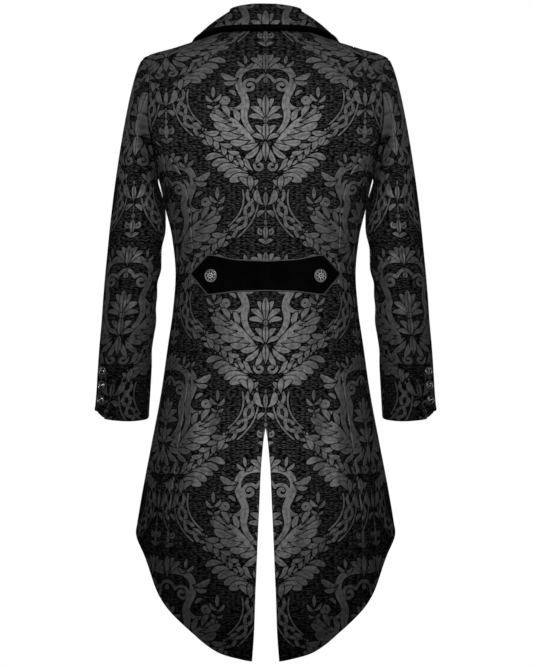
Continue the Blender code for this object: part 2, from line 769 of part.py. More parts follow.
def build_sleeves():
    rows = np.concatenate((CAP_ROWS, np.linspace(1, 2, 13)))
    for stem, columns, cuff in (("top_sleeve", 9, CUFF_TOP_SLEEVE), ("under_sleeve", 9, CUFF_UNDER_SLEEVE)):
        share = np.linspace(0, 1, columns)[None, :]
        cuff_line = smooth_line(cuff)
        along = rows[:, None] * np.ones((1, columns))
        for _ in range(12):
            height = sleeve_height(along)
            seam = BACK_SEAM_LINE(height)
            plain = np.where(along < 1, CAP_SEAM_GAP / 2, SEAM_GAP / 2)
            gap = sleeve_gap(seam, along, np.where(height < CUFF_VENT[0][0], CUFF_VENT_LINE(height), plain))
            front_gap = sleeve_gap(SLEEVE_FRONT_SEAM, along, plain)
            if stem == "top_sleeve":
                near, far = SLEEVE_FRONT_SEAM + front_gap, seam - gap
            else:
                near, far = seam + gap, 360 + SLEEVE_FRONT_SEAM - front_gap
            turn = near + (far - near) * share
            last = (BICEPS - cuff_line(turn[-1])) / (BICEPS - CUFF_LEVEL)
            lower = 1 + (rows[:, None] - 1) * last
            along = np.where(rows[:, None] > 1, lower, rows[:, None] * np.ones((1, columns)))
        outer = sleeve(turn, along)
        inner = outer - CLOTH * sleeve_facing(turn, along)
        for name, mirrored in both_sides(stem):
            wall(name, outer[:, ::-1], inner[:, ::-1], brocade(name), mirrored)


def belt_shape(columns):
    """Half belt grid: columns from the right tip to the left one, rows down."""
    top = smooth_line([(row[0], row[1]) for row in BELT_EDGES])
    low = smooth_line([(row[0], row[2]) for row in BELT_EDGES])
    tip = np.linspace(BELT_CORNER, BELT_TIP, 3)
    x = np.concatenate((-tip[::-1], np.linspace(-BELT_INNER, BELT_INNER, columns), tip))
    across = [row[0] for row in BELT_EDGES]
    high = np.interp(np.abs(x), across, [row[1] for row in BELT_EDGES])
    base = np.interp(np.abs(x), across, [row[2] for row in BELT_EDGES])
    inner = np.abs(x) < BELT_CORNER
    high = np.where(inner, top(np.abs(x)), high)
    base = np.where(inner, low(np.abs(x)), base)
    return x, high, base


def build_belt():
    x, high, base = belt_shape(11)
    share = np.linspace(0, 1, 4)[:, None]
    z = high + (base - high) * share
    turns = turn_at(x + 0 * z, z)
    inner = body(turns, z, BELT_GAP)
    out = body_facing(turns, z, BELT_GAP)
    wall("half_belt", inner + BELT_THICK * out, inner, velvet("half_belt"))
    away = PIPING_RADIUS + SEAM_GAP
    edge = [(px, pz + away) for px, pz in zip(x, high)]
    edge += [(px, pz - away) for px, pz in zip(x[::-1], base[::-1])]
    edge[0] = (edge[0][0] - away, edge[0][1])
    edge[len(x) - 1] = (edge[len(x) - 1][0] + away, edge[len(x) - 1][1])
    edge[len(x)] = (edge[len(x)][0] + away, edge[len(x)][1])
    edge[-1] = (edge[-1][0] - away, edge[-1][1])
    curve = bpy.data.curves.new("belt_piping", "CURVE")
    curve.dimensions = "3D"
    curve.bevel_depth = PIPING_RADIUS * MM
    curve.bevel_resolution = 1
    line = curve.splines.new("POLY")
    line.points.add(len(edge) - 1)
    for point, (px, pz) in zip(line.points, edge):
        turn = turn_at(np.array(px), np.array(pz))
        x_at, y_at, z_at = body(turn, pz, PIPING_GAP + PIPING_RADIUS) * MM
        point.co = (x_at, y_at, z_at, 1)
    line.use_cyclic_u = True
    curve.materials.append(brocade("belt_piping"))
    COAT.objects.link(bpy.data.objects.new("belt_piping", curve))


def make_button(name, size, at, out, steps=16):
    """A turned, domed metal button standing off the cloth."""
    radius, height = size
    mesh = bpy.data.meshes.new(name)
    points = [(share * radius * MM, 0, rise * height * MM) for share, rise in BUTTON_OUTLINE]
    mesh.from_pydata(points, [(k, k + 1) for k in range(len(points) - 1)], [])
    mesh.materials.append(silver(name))
    item = bpy.data.objects.new(name, mesh)
    COAT.objects.link(item)
    turned = item.modifiers.new("Turned", "SCREW")
    turned.steps = steps
    turned.render_steps = steps
    turned.use_merge_vertices = True
    turned.merge_threshold = 0.00001
    turned.use_normal_calculate = True
    turned.use_smooth_shade = True
    up = unit(np.array(out, float))
    side = unit(np.cross((0.0, 0.0, 1.0), up))
    over = np.cross(up, side)
    place = np.array(at) + up * LAY_GAP
    rows = [[*(side[k], over[k], up[k]), place[k] * MM] for k in range(3)] + [[0, 0, 0, 1]]
    item.matrix_world = Matrix([[float(v) for v in row] for row in rows])
    return item


def sleeve_turn_at(x, along, low=0.0, high=90.0):
    """The turn of the sleeve point that shows from behind at a half width."""
    for _ in range(40):
        middle = (low + high) / 2
        if sleeve(middle, along)[0] > x:
            low = middle
        else:
            high = middle
    return (low + high) / 2


def build_buttons():
    for side, sign in (("left", 1), ("right", -1)):
        x, z = BELT_BUTTON_AT
        turn = turn_at(np.array(x), np.array(z))
        lift = BELT_GAP + BELT_THICK
        at = body(turn, z, lift)
        out = body_facing(turn, np.array(z), lift)
        make_button("belt_button_" + side, BELT_BUTTON, at * (sign, 1, 1), out * (sign, 1, 1))
        for k, (x, z) in enumerate(CUFF_BUTTONS_AT, 1):
            along = 1 + (BICEPS - z) / (BICEPS - CUFF_LEVEL)
            turn = sleeve_turn_at(x, along)
            at = sleeve(turn, along)
            out = sleeve_facing(turn, along)
            make_button(f"cuff_button_{side}_{k}", CUFF_BUTTON, at * (sign, 1, 1), out * (sign, 1, 1))
    for k, z in enumerate(FRONT_BUTTONS_AT, 1):
        at = body(180.0, z, LAP_DEPTH)
        out = body_facing(np.array(180.0), np.array(z), LAP_DEPTH)
        make_button(f"front_button_{k}", FRONT_BUTTON, at, out)


for old in list(bpy.data.objects):
    bpy.data.objects.remove(old)
COAT = bpy.data.collections.new("tailcoat")
bpy.context.scene.collection.children.link(COAT)
build_body()
build_lapels()
build_collar()
build_sleeves()
build_belt()
build_buttons()
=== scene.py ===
"""Tailcoat: the looks. Black figured brocade, black velvet trim and antique silver buttons.

Millimetres in the tables, metres in the scene. The coat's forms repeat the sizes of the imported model.
"""

import bpy
import numpy as np
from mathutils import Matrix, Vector


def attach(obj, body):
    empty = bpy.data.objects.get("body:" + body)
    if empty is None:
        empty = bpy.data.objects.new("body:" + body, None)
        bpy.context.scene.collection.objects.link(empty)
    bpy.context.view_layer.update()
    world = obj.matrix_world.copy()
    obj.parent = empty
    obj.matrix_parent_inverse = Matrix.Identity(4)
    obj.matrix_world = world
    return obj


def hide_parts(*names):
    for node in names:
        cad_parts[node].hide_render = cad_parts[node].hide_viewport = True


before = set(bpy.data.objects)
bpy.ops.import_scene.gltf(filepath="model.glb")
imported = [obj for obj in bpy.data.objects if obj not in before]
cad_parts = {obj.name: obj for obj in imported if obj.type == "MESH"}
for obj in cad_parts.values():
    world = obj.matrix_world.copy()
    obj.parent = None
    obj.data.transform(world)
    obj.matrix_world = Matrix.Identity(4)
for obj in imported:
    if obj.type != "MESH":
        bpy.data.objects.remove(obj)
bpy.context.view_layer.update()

MM = 0.001

# The cloth's thickness, then the gaps between pieces. The one at a seam is below nought, because
# neighbours overlap there by that much, so that no light comes through.
CLOTH = 2.0
SEAM_GAP = -0.25
ARMHOLE_GAP = 0.1
LAY_GAP = 0.6
BELT_GAP = 1.0
PIPING_GAP = 1.2
COLLAR_CLEAR = 3.0

# Heights that the cut turns on
NECK_HEIGHT = 2.0
SHOULDER_END = -48.0
SIDE_BACK_TOP = -190.0
WAIST = -434.0
VENT_TOP = -706.0
HEM_END = -1107.0

# Rings of the body: height, half width, back line, front line, widest line, squareness
RING_COLUMNS = ("height", "half_width", "back", "front", "side", "square")
RINGS = (
    (12, 66, 52, -36, 0, 2.2),
    (2, 75, 55, -42, 0, 2.2),
    (-7, 100, 60, -50, 0, 2.2),
    (-20, 139, 65, -58, 0, 2.2),
    (-31, 174, 69, -66, 0, 2.2),
    (-41, 209, 73, -74, 0, 2.25),
    (-48, 221, 76, -80, 0, 2.3),
    (-70, 225, 84, -94, 0, 2.5),
    (-100, 229, 94, -108, 0, 2.8),
    (-137, 230, 101, -119, -2, 3.0),
    (-170, 224, 105, -125, -5, 3.1),
    (-203, 212, 107, -128, -8, 3.1),
    (-246, 198, 106, -130, -12, 2.95),
    (-262, 193, 105, -130, -13, 2.9),
    (-311, 182, 99, -128, -15, 2.7),
    (-369, 168.5, 91, -122, -15, 2.6),
    (-434, 162.4, 86, -117, -13, 2.5),
    (-499, 167, 90, -120, -11, 2.5),
    (-563, 176, 99, -126, -8, 2.5),
    (-650, 188, 111, -133, -6, 2.5),
    (-736, 203, 121, -138, -4, 2.5),
    (-823, 218.5, 130, -143, -2, 2.4),
    (-902, 231, 138, -148, 0, 2.4),
    (-1000, 246, 146, -155, 0, 2.3),
    (-1140, 266, 156, -165, 0, 2.3),
)

# Hem: turn round the body from the centre back to past the centre front, height
HEM = (
    (0, -1107),
    (5, -1105.5),
    (11, -1100),
    (17, -1093),
    (23, -1080),
    (31, -1054),
    (38, -1028),
    (44.5, -1002),
    (51, -976),
    (58, -950),
    (66, -924),
    (75, -904),
    (90, -884),
    (105, -858),
    (120, -812),
    (135, -745),
    (150, -665),
    (163, -590),
    (173, -530),
    (180, -496),
    (190, -474),
)

# Seam between back and side back: height, half width
SIDE_BACK_SEAM = (
    (-190, 203.75),
    (-203, 190.5),
    (-225, 171),
    (-262, 149),
    (-316, 134),
    (-394, 129.6),
    (-434, 128.8),
    (-514, 121.5),
    (-538, 120.5),
    (-592, 129),
    (-676, 143.4),
    (-752, 154.5),
    (-805, 161),
    (-872, 168),
    (-980, 178),
    (-1107, 188),
)

# Vent: height, half of its opening
VENT = (
    (-706, 0.15),
    (-723, 3.1),
    (-750, 5.9),
    (-778, 8.2),
    (-833, 10.6),
    (-888, 13.2),
    (-943, 15.4),
    (-997, 17.7),
    (-1052, 19.4),
    (-1107, 23.2),
)

# Soft folds of the body: turn, width in degrees, depth, height where it starts, height where it is full
BODY_FOLDS = (
    (12, 8, 3.0, -760, -1060),
    (27, 9, -4.0, -640, -1000),
    (43, 9, 4.5, -560, -960),
    (60, 10, -4.5, -540, -930),
    (77, 10, 3.5, -600, -900),
    (98, 12, 3.0, -560, -840),
    (122, 12, -4.0, -520, -760),
    (146, 11, 3.0, -500, -660),
    (36, 7, -2.0, -300, -230),
    (52, 7, 2.0, -330, -250),
    (140, 9, -3.0, -300, -210),
)

# Armhole: an egg-shaped loop on the body
ARMHOLE_MIDDLE = -155.0
ARMHOLE_RISE = 107.0
ARMHOLE_REACH = 72.0
ARMHOLE_CENTRE = (225.0, 0.0, -155.0)

# Sleeve cap: the way it leaves the armhole, and how far it keeps its first and last direction,
# each as a constant, a share that follows the cosine and a share that follows twice the angle
CAP_WAY = (0.77, 0.42, -0.57)
CAP_LEAVE = (19.5, 6.0, -5.5)
CAP_ARRIVE = (70.0, 50.0, 10.0)

# Sleeve rings: height, inner side, outer side, middle line, half depth
SLEEVE_COLUMNS = ("height", "inner", "outer", "middle", "half_depth")
SLEEVE_RINGS = (
    (-330, 178.0, 275.0, 33, 64),
    (-350, 178.0, 277.3, 33, 63),
    (-391, 184.0, 281.5, 31, 61),
    (-434, 188.8, 286.0, 28, 59),
    (-477, 193.5, 290.0, 24, 57),
    (-520, 197.5, 293.5, 18, 55),
    (-563, 202.0, 298.0, 11, 53),
    (-607, 205.0, 301.8, 3, 51),
    (-650, 208.0, 305.2, -6, 49),
    (-700, 211.5, 311.0, -15, 47),
)
SLEEVE_SQUARE = 2.15
BICEPS = -330.0
CUFF_LEVEL = -700.0

# Soft folds of the sleeve: height, slope, width, depth, turn of its middle, width round the arm
SLEEVE_FOLDS = (
    (-392, 0.16, 15, -2.4, 150, 55),
    (-424, -0.12, 14, 1.8, 165, 60),
    (-452, 0.20, 16, -2.6, 185, 55),
    (-486, -0.15, 15, -1.8, 150, 50),
    (-522, 0.10, 17, 1.6, 175, 60),
    (-570, 0.12, 18, -1.6, 200, 50),
)

# Back seam of the sleeve: height, turn round the arm
SLEEVE_BACK_SEAM = (
    (-48, 66),
    (-155, 74),
    (-330, 84),
    (-480, 80),
    (-596, 75),
    (-661, 66),
    (-700, 52),
)
SLEEVE_FRONT_SEAM = -112.0

# Cuff vent: height, half of its opening
CUFF_VENT = ((-590, 0.0), (-610, 0.3), (-660, 0.5), (-700, 0.6))

# Cuff edge: turn round the arm, height
CUFF_TOP_SLEEVE = ((-112, -690), (-60, -686), (0, -680), (22, -678), (38, -684), (56, -692))
CUFF_UNDER_SLEEVE = ((46, -692), (75, -696), (110, -698), (150, -696), (190, -692), (248, -690))

# Collar: turn round the neck, then the seam, fold and outer edge as x, y, z
COLLAR_COLUMNS = (
    "turn", "seam_x", "seam_y", "seam_z", "fold_x", "fold_y", "fold_z", "edge_x", "edge_y", "edge_z",
)
COLLAR = (
    (0, 0, 52.0, 2.6, 0, 51, 44, 0, 74, -4),
    (15, 19, 51.0, 2.6, 17, 50, 44, 23, 73, -4),
    (30, 37, 47.0, 2.6, 34, 44, 43.5, 47, 68, -3),
    (45, 52, 38.0, 2.6, 47, 35, 43, 71, 58, -2),
    (60, 63, 27.0, 2.6, 56, 24, 42.5, 94, 44, -3),
    (75, 70, 14.0, 2.8, 61, 12, 42, 115, 25, -7),
    (90, 72.4, 0.0, 3.2, 62, 0, 41, 131, 0, -13.5),
    (102, 71, -12.0, 2.5, 62, -13, 34, 135, -20, -24),
    (114, 68, -25.0, 0.0, 61, -29, 21, 133, -42, -38),
    (124, 63, -38.0, -4.0, 60, -44, 5, 128, -60, -52),
    (132, 58.5, -46.0, -9.5, 58.5, -54, -8, 122, -76, -66),
)

# Velvet band of the collar: turn round the neck, width
COLLAR_BAND_WIDTH = ((0, 9.0), (60, 8.0), (90, 11.0), (132, 15.0))

# Collar: turn where it ends, radius of its fold, belly of its fall, height of a full stand, and how far
# the stand reaches down inside the neck
COLLAR_END = 132.0
FOLD_RADIUS = 3.4
FALL_BELLY = 3.0
STAND_HEIGHT = 30.0
STAND_TUCK = 5.0

# Lapel: height and half width where the roll line starts and ends, and along the outer edge
ROLL_TOP = (-14.0, 57.0)
ROLL_END = (-325.0, -14.0)
LAPEL_END = -304.0
LAPEL_UNDER = 4.0
LAPEL_TIP = (-104.0, 131.0)
LAPEL_EDGE = ((-104, 131), (-150, 119), (-200, 97), (-250, 66), (-290, 34), (-325, 0))
LAPEL_BAND_WIDTH = 13.0
LAPEL_LIFT = 3.8
LAPEL_RISE = 2.4
LAPEL_RISE_FROM = -130.0
LAPEL_RISE_FULL = -58.0
LAP_DEPTH = 3.0
LAP_START = 166.0
LAP_FULL = 175.0

# Half belt: distance from the centre, height of the top edge, height of the bottom edge
BELT_EDGES = ((0, -415.2, -464.0), (50, -412.6, -465.5), (101, -404.2, -470.6), (129, -434.0, -437.0))
BELT_CORNER = 101.0
BELT_TIP = 129.0
BELT_THICK = 2.2
BELT_WALL = 1.4

# Face of the half belt: its swell, its fall at the edges and how far in that reaches, then the dent round a
# button and its width, and the height of its soft waves
BELT_SWELL = 0.5
BELT_FALL = 1.7
BELT_FALL_REACH = 1.5
BUTTON_DENT = 0.7
BUTTON_DENT_WIDTH = 4.0
BELT_WAVE = 0.25

# Cord round the half belt: its radius, and how far off the belt's edge it lies
PIPING_RADIUS = 1.1
PIPING_OFF = 0.3

# Buttons: radius and height, then where each sits
BELT_BUTTON = (11.5, 6.5)
CUFF_BUTTON = (7.5, 4.6)
FRONT_BUTTON = (10.5, 6.0)
BELT_BUTTON_AT = (93.2, -439.2)
CUFF_BUTTONS_AT = ((288.0, -607.0), (290.0, -632.5), (292.5, -659.0))
FRONT_BUTTONS_AT = (-352.0, -398.0, -444.0)

# How far a cuff button tips towards the back, how far it stands off the sleeve, and how far each kind of
# button is turned round its shank, in degrees
CUFF_BUTTON_TIP = 0.75
CUFF_BUTTON_RISE = 1.2
BELT_BUTTON_ROLL = 11
CUFF_BUTTON_ROLL = 35
FRONT_BUTTON_ROLL = 17

# The brocade's figure, on a chart in millimetres. The same cell stands half a repeat lower on the next
# mirror line, turned about. In order: width from mirror line to mirror line, chart millimetres to one of
# cloth down, one repeat down, size of a stitch, dark outline round a motif, and value of the bare ground.
MIRROR = 177.0
DROP = 1.028
REPEAT = 366.0
STITCH = 0.5
OUTLINE = 1.4
GROUND = -6.0

# Stems: start, two pulls and end, each as across and down, then half width at start and end
STEMS = (
    (0, 24, 0, 40, 0, 60, 0, 84, 2.2, 1.6),
    (85, 66, 84, 58, 86, 48, 85, 40, 1.3, 1.0),
    (35, 172, 35, 168, 35, 164, 35, 158, 1.2, 1.0),
    (14, 10, 46, -12, 78, -38, 100, -58, 2.4, 1.2),
)

# The big scroll: its stems, drawn as the stems are, run into its curls
SCROLL_STEMS = (
    (0, 167, 26, 160, 52, 172, 48, 200, 6.0, 6.6),
    (48, 200, 45, 218, 31, 226, 36, 246, 6.6, 7.0),
    (36, 246, 42, 266, 32, 284, 13, 300, 7.0, 3.4),
    (0, 184, 7, 184, 11, 189, 15.5, 197.5, 3.4, 3.0),
    (38, 236, 46, 249, 58, 252, 70, 243, 4.2, 3.2),
)

# Scrolls: centre across and down, start radius, end radius, start angle, turn, half width at start and end
SCROLLS = (
    (28, 205, 14.5, 3.0, -149, 470, 3.0, 3.2),
    (70, 233, 10.0, 2.6, 90, -430, 3.2, 3.0),
)
RINGS_OF_THREAD = (
    (11, 351, 9.5, 3.0, -40, 330, 2.8, 3.0),
    (8, 103, 6.5, 2.0, -60, 330, 2.0, 2.4),
)

# Sprays of leaves: line as for the stems, leaves to a side, their length, half width, and spread to each side
SPRAYS = (
    (18, -4, 50, -24, 84, -48, 116, -82, 6, 34, 4.6, 24, 22),
    (16, 6, 40, -10, 64, -26, 88, -44, 5, 48, 8.0, 0, 42),
    (64, 104, 84, 116, 106, 132, 126, 156, 4, 32, 5.4, 26, 26),
)

# Leaf of a spray: its bend as a share of its length, its widest place, and how much smaller the last one is
SPRAY_BEND = 0.12
SPRAY_WIDEST = 0.68
SPRAY_SHRINK = 0.3

# Leaves: base, tip, bend to the side, half width, widest place along it, lobes, depth of their notches
LEAVES = (
    # big leaf's body, with its upper tips
    (52, 278, 57, 248, 5, 5.6, 0.6, 1, 0.0),
    (14, 316, 82, 250, -5, 14.0, 0.5, 3, 0.1),
    (64, 264, 78, 242, 4, 5.0, 0.6, 1, 0.0),
    (66, 264, 95, 242, -3, 5.6, 0.64, 1, 0.0),
    (60, 272, 98, 256, -4, 6.4, 0.66, 1, 0.0),
    (50, 283, 91, 273, -5, 7.2, 0.66, 1, 0.0),
    (39, 295, 79, 291, -5, 7.2, 0.66, 1, 0.0),
    (28, 305, 62, 307, -4, 6.4, 0.64, 1, 0.0),
    # cap of the braid
    (27, 28, 47, 6, 4, 5.0, 0.6, 1, 0.0),
    (25, 28, 12, 10, -3, 4.2, 0.6, 1, 0.0),
    (27, 30, 29, 2, 2, 5.2, 0.6, 1, 0.0),
    # heart and pendant of the crossing
    (0, 56, 15, 27, -7, 6.0, 0.66, 1, 0.0),
    (0, 60, 0, 30, 0, 4.4, 0.6, 1, 0.0),
    (1, 66, 14, 78, 4, 4.0, 0.5, 1, 0.0),
    (0, 122, 0, 90, 0, 4.6, 0.55, 1, 0.0),
    (0, 126, 14, 118, 3, 3.6, 0.5, 1, 0.0),
    # leaves outside the scroll
    (48, 190, 79, 178, -5, 6.4, 0.6, 3, 0.3),
    (50, 194, 74, 198, -4, 4.4, 0.6, 1, 0.0),
    (52, 224, 66, 214, 3, 3.6, 0.5, 1, 0.0),
    # crown over the scroll
    (4, 172, 27, 150, 5, 5.6, 0.6, 2, 0.2),
    (0, 176, 15, 142, 5, 5.6, 0.62, 1, 0.0),
    (0, 178, 0, 138, 0, 5.4, 0.6, 1, 0.0),
    # leaflets under the big leaf
    (12, 308, 44, 318, -4, 6.0, 0.62, 2, 0.2),
    (11, 312, 36, 336, -4, 6.0, 0.62, 2, 0.2),
    (7, 316, 18, 346, -3, 5.0, 0.6, 1, 0.0),
    # palmette on the mirror line
    (2, 270, 30, 262, 5, 5.0, 0.6, 1, 0.0),
    (2, 268, 27, 244, 6, 5.6, 0.62, 1, 0.0),
    (0, 266, 15, 228, 5, 6.0, 0.64, 1, 0.0),
    (0, 268, 0, 220, 0, 6.4, 0.6, 1, 0.0),
    (3, 306, 24, 296, 4, 4.6, 0.6, 1, 0.0),
    (1, 304, 19, 278, 5, 5.4, 0.6, 1, 0.0),
    (0, 306, 0, 270, 0, 5.6, 0.55, 1, 0.0),
    (0, 344, 0, 306, 0, 6.0, 0.6, 1, 0.0),
    # sprigs
    (85, 44, 85, 22, 0, 3.8, 0.5, 1, 0.0),
    (85, 50, 99, 36, -3, 3.4, 0.5, 1, 0.0),
    (85, 52, 72, 38, 3, 3.4, 0.5, 1, 0.0),
    (85, 62, 97, 56, -2, 3.0, 0.5, 1, 0.0),
    (85, 62, 74, 57, 2, 3.0, 0.5, 1, 0.0),
    (35, 162, 38, 143, 1, 3.4, 0.5, 1, 0.0),
    (35, 166, 50, 154, -3, 3.2, 0.5, 1, 0.0),
    (35, 168, 23, 158, 3, 3.0, 0.5, 1, 0.0),
)

# Berries: centre across and down, half size across and down
BERRIES = (
    (0, 268, 4.2, 5.2),
    (0, 86, 3.4, 4.4),
    (0, 194, 4.6, 5.4),
    (85, 70, 2.6, 2.6),
)

# Braid between its borders: its line, half width of the weave, length of a twist, half width of a strand,
# then how far off each border runs, and its half width
BRAID = (28, 24, 20, 54, 32, 84, 62, 106)
BRAID_REACH = 6.6
BRAID_TWIST = 27.0
BRAID_STRAND = 3.4
BRAID_BORDER = 13.0
BRAID_EDGE = 1.7

# Where the figure falls on the cloth: height of a crossing on the body, and on the sleeve
BODY_CROSSING = -264.0
SLEEVE_CROSSING = -252.0

# Creases: side they are seen from, start x and height, end x and height, width, depth, bow
CREASES = (
    # drag from the armhole to the shoulder blade, left and right
    ("back", 206, -196, 168, -252, 9, 1.5, 5),
    ("back", 212, -176, 176, -214, 7, 1.1, 4),
    ("back", -208, -190, -166, -244, 9, 1.4, -6),
    ("back", -204, -214, -178, -262, 7, 1.2, -3),
    ("back", 196, -90, 190, -150, 9, 1.0, 4),
    ("back", -197, -86, -189, -142, 8, 1.1, -5),
    # drag at the waist beside the belt's points
    ("back", 152, -398, 112, -384, 6, 1.2, 3),
    ("back", 158, -420, 134, -416, 5, 1.4, 2),
    ("back", 158, -454, 132, -452, 6, 1.5, -2),
    ("back", 160, -482, 118, -492, 7, 1.3, -4),
    ("back", -154, -402, -116, -390, 6, 1.1, 3),
    ("back", -158, -436, -133, -430, 5, 1.5, 2),
    ("back", -160, -470, -122, -478, 7, 1.5, -3),
    ("back", -158, -498, -126, -508, 6, 1.0, -3),
    # long soft falls of the skirt
    ("back", 98, -510, 112, -980, 16, 3.6, 6),
    ("back", 62, -640, 74, -1040, 14, 2.3, -5),
    ("back", 150, -600, 176, -900, 14, 2.6, 5),
    ("back", -100, -530, -118, -990, 16, 3.4, -7),
    ("back", -60, -600, -68, -1010, 13, 2.2, 5),
    ("back", -152, -620, -174, -920, 15, 2.6, -5),
    # elbow and upper sleeve, left and right
    ("back", 196, -352, 246, -372, 8, 1.5, 5),
    ("back", 192, -398, 252, -408, 7, 1.6, -5),
    ("back", 196, -432, 240, -424, 7, 1.3, 4),
    ("back", 200, -470, 262, -482, 8, 1.5, 5),
    ("back", 204, -520, 250, -512, 7, 1.2, 4),
    ("back", 262, -300, 284, -372, 9, 1.2, -4),
    ("back", 208, -566, 244, -580, 8, 1.1, 4),
    ("back", -194, -344, -240, -360, 8, 1.4, 5),
    ("back", -193, -388, -256, -402, 7, 1.7, -5),
    ("back", -198, -440, -244, -434, 8, 1.3, 4),
    ("back", -201, -486, -258, -498, 7, 1.5, 5),
    ("back", -206, -540, -246, -530, 8, 1.2, 4),
    ("back", -264, -310, -284, -388, 9, 1.1, 4),
    # front of the sleeves
    ("front", 200, -380, 262, -396, 9, 2.0, -7),
    ("front", 204, -420, 272, -428, 8, 2.4, 6),
    ("front", 206, -458, 268, -474, 9, 2.0, -5),
    ("front", 212, -520, 270, -512, 9, 1.4, 5),
    ("front", -200, -372, -260, -386, 9, 2.1, -6),
    ("front", -204, -412, -270, -424, 8, 2.3, 6),
    ("front", -208, -452, -272, -462, 9, 2.1, 5),
    ("front", -212, -506, -268, -500, 9, 1.5, -5),
    # front of the body: pull to the top button, waist and skirt
    ("front", 176, -196, 132, -262, 10, 2.0, 5),
    ("front", -178, -204, -136, -270, 10, 1.9, -5),
    ("front", 96, -330, 22, -352, 8, 1.5, 5),
    ("front", -92, -334, -24, -354, 8, 1.5, -5),
    ("front", 128, -404, 40, -400, 9, 1.4, -5),
    ("front", -126, -410, -40, -404, 9, 1.5, 5),
    ("front", 150, -456, 74, -470, 9, 1.3, 4),
    ("front", -148, -448, -70, -462, 9, 1.4, -4),
    ("front", 110, -520, 150, -760, 12, 2.0, 6),
    ("front", -108, -540, -146, -770, 12, 2.1, -6),
    ("front", 60, -500, 92, -640, 11, 1.5, 5),
    ("front", -58, -496, -94, -650, 11, 1.6, -5),
)

# How far a crease's mark reaches, in its widths, and the ridges beside it: share of its depth, then place and
# width in its widths
CREASE_REACH = 3.2
CREASE_RIDGES = ((0.42, 1.7, 1.0), (0.26, -1.8, 1.2))

# Edges of the cloth: depth and reach of the dip, then height, place and width of the swell beside it
EDGE_SHAPES = {"seam": (0.75, 1.3, 0.16, 5, 3), "free": (0.6, 0.8, 0.3, 4, 3)}

# Velvet bands: height, fall at the edges, and how far in the fall reaches
COLLAR_BAND_CROWN = (1.0, 1.5)
LAPEL_BAND_CROWN = (0.9, 1.4)
BAND_EDGE = 1.4

# Fineness of the cloth: distance between points down each panel, and points across it.
# Each fourth point is backed by one of the inner face, so counts across are a multiple of four, and one.
INNER_STEP = 4
BACK_FINE, BACK_COLUMNS = 1.8, 105
SIDE_FINE, SIDE_COLUMNS = 2.0, 53
FRONT_FINE, FRONT_COLUMNS = 2.5, 97
SLEEVE_FINE, TOP_SLEEVE_COLUMNS, UNDER_SLEEVE_COLUMNS = 2.2, 85, 69
COLLAR_ROWS, COLLAR_COLUMNS_FINE = 45, 241
LAPEL_ROWS, LAPEL_COLUMNS = 145, 41
BAND_ROWS = 9
BELT_ROWS, BELT_INNER_STEPS, BELT_TIP_STEPS = 25, 25, 3
FEW = np.array((0.0, 0.5, 1.0))

# Place down the figure where the collar's cloth starts in the neck, and the slant of the lapel's grain
COLLAR_FIGURE = 148.0
LAPEL_GRAIN = -22.0

# Twisted cord: distance between its sections, sides of a section and length of a twist
CORD_STEP = 0.9
CORD_SIDES = 8
CORD_TWIST = 3.0

# Buttons: rings and spokes of the dome and height of its relief, then its profile in shares of the
# button's height or radius, how bright its side is, and the beads of a large one's rim
BUTTON_RINGS = 34
BUTTON_SPOKES = 96
RELIEF = 1.1
DOME_FOOT = 0.38
DOME_RISE = 0.5
DOME_CURVE = 2.2
DOME_TOP = 0.88
LIP_HEIGHT = 0.14
LIP_WIDTH = 0.97
FOOT_WIDTH = 0.86
# The side's place on the relief mask, which sets its colour: low, so the side is painted dark with tarnish
# and shade
SIDE_SHINE = 0.3
BEADS = 36
BEAD_RING = 0.915
BEAD_SIZE = 0.85
BEAD_HEIGHT = 0.5

# Each cut piece of cloth: width and length of its flat cut, its area, how it is held and by what
SHEETS = {
    "back": (0.24, 1.15, 0.181, "hung", ()),
    "side_back": (0.18, 0.93, 0.078, "hung", ()),
    "front": (0.36, 0.9, 0.168, "hung", ()),
    "top_sleeve": (0.19, 0.68, 0.11, "hung", ()),
    "under_sleeve": (0.16, 0.6, 0.077, "hung", ()),
    "collar": (0.56, 0.1, 0.036, "folded", ()),
    "collar_band": (0.56, 0.012, 0.0063, "folded", ()),
    "lapel": (0.13, 0.32, 0.017, "folded", ()),
    "lapel_band": (0.014, 0.32, 0.0036, "folded", ()),
    "half_belt": (0.262, 0.067, 0.0143, "stretched", ()),
}

# Colours, each as linear red, green and blue
GROUND_COLOUR = (0.0018, 0.0018, 0.0019)
# Pale dashes on the ground: painted highlight on the raised crinkles
CRINKLE_PAINTED_HIGHLIGHT = (0.062, 0.062, 0.063)
FIGURE_COLOUR = (0.18, 0.18, 0.182)
VELVET_DEEP = (0.0008, 0.0008, 0.0009)
# Painted sheen of the velvet, where its nap catches the light
VELVET_PAINTED_SHEEN = (0.0035, 0.0035, 0.0038)
REVERSE_DEEP = (0.006, 0.006, 0.0065)
REVERSE_LIT = (0.024, 0.024, 0.026)
# Silver of the hollows: tarnish with painted shade
SILVER_TARNISH_AND_SHADE = (0.006, 0.0055, 0.005)
SILVER_WORN = (0.88, 0.86, 0.83)
# Painted shade in the grooves between the cord's strands
CORD_PAINTED_GROOVE_SHADE = (0.012, 0.012, 0.012)
CORD_LIT = (0.1, 0.1, 0.1)

# Weave: length and width of a crinkle, and distance between the ribs of a motif
CRINKLE_LENGTH = 8.5
CRINKLE_WIDTH = 2.3
RIB_PITCH = 1.7

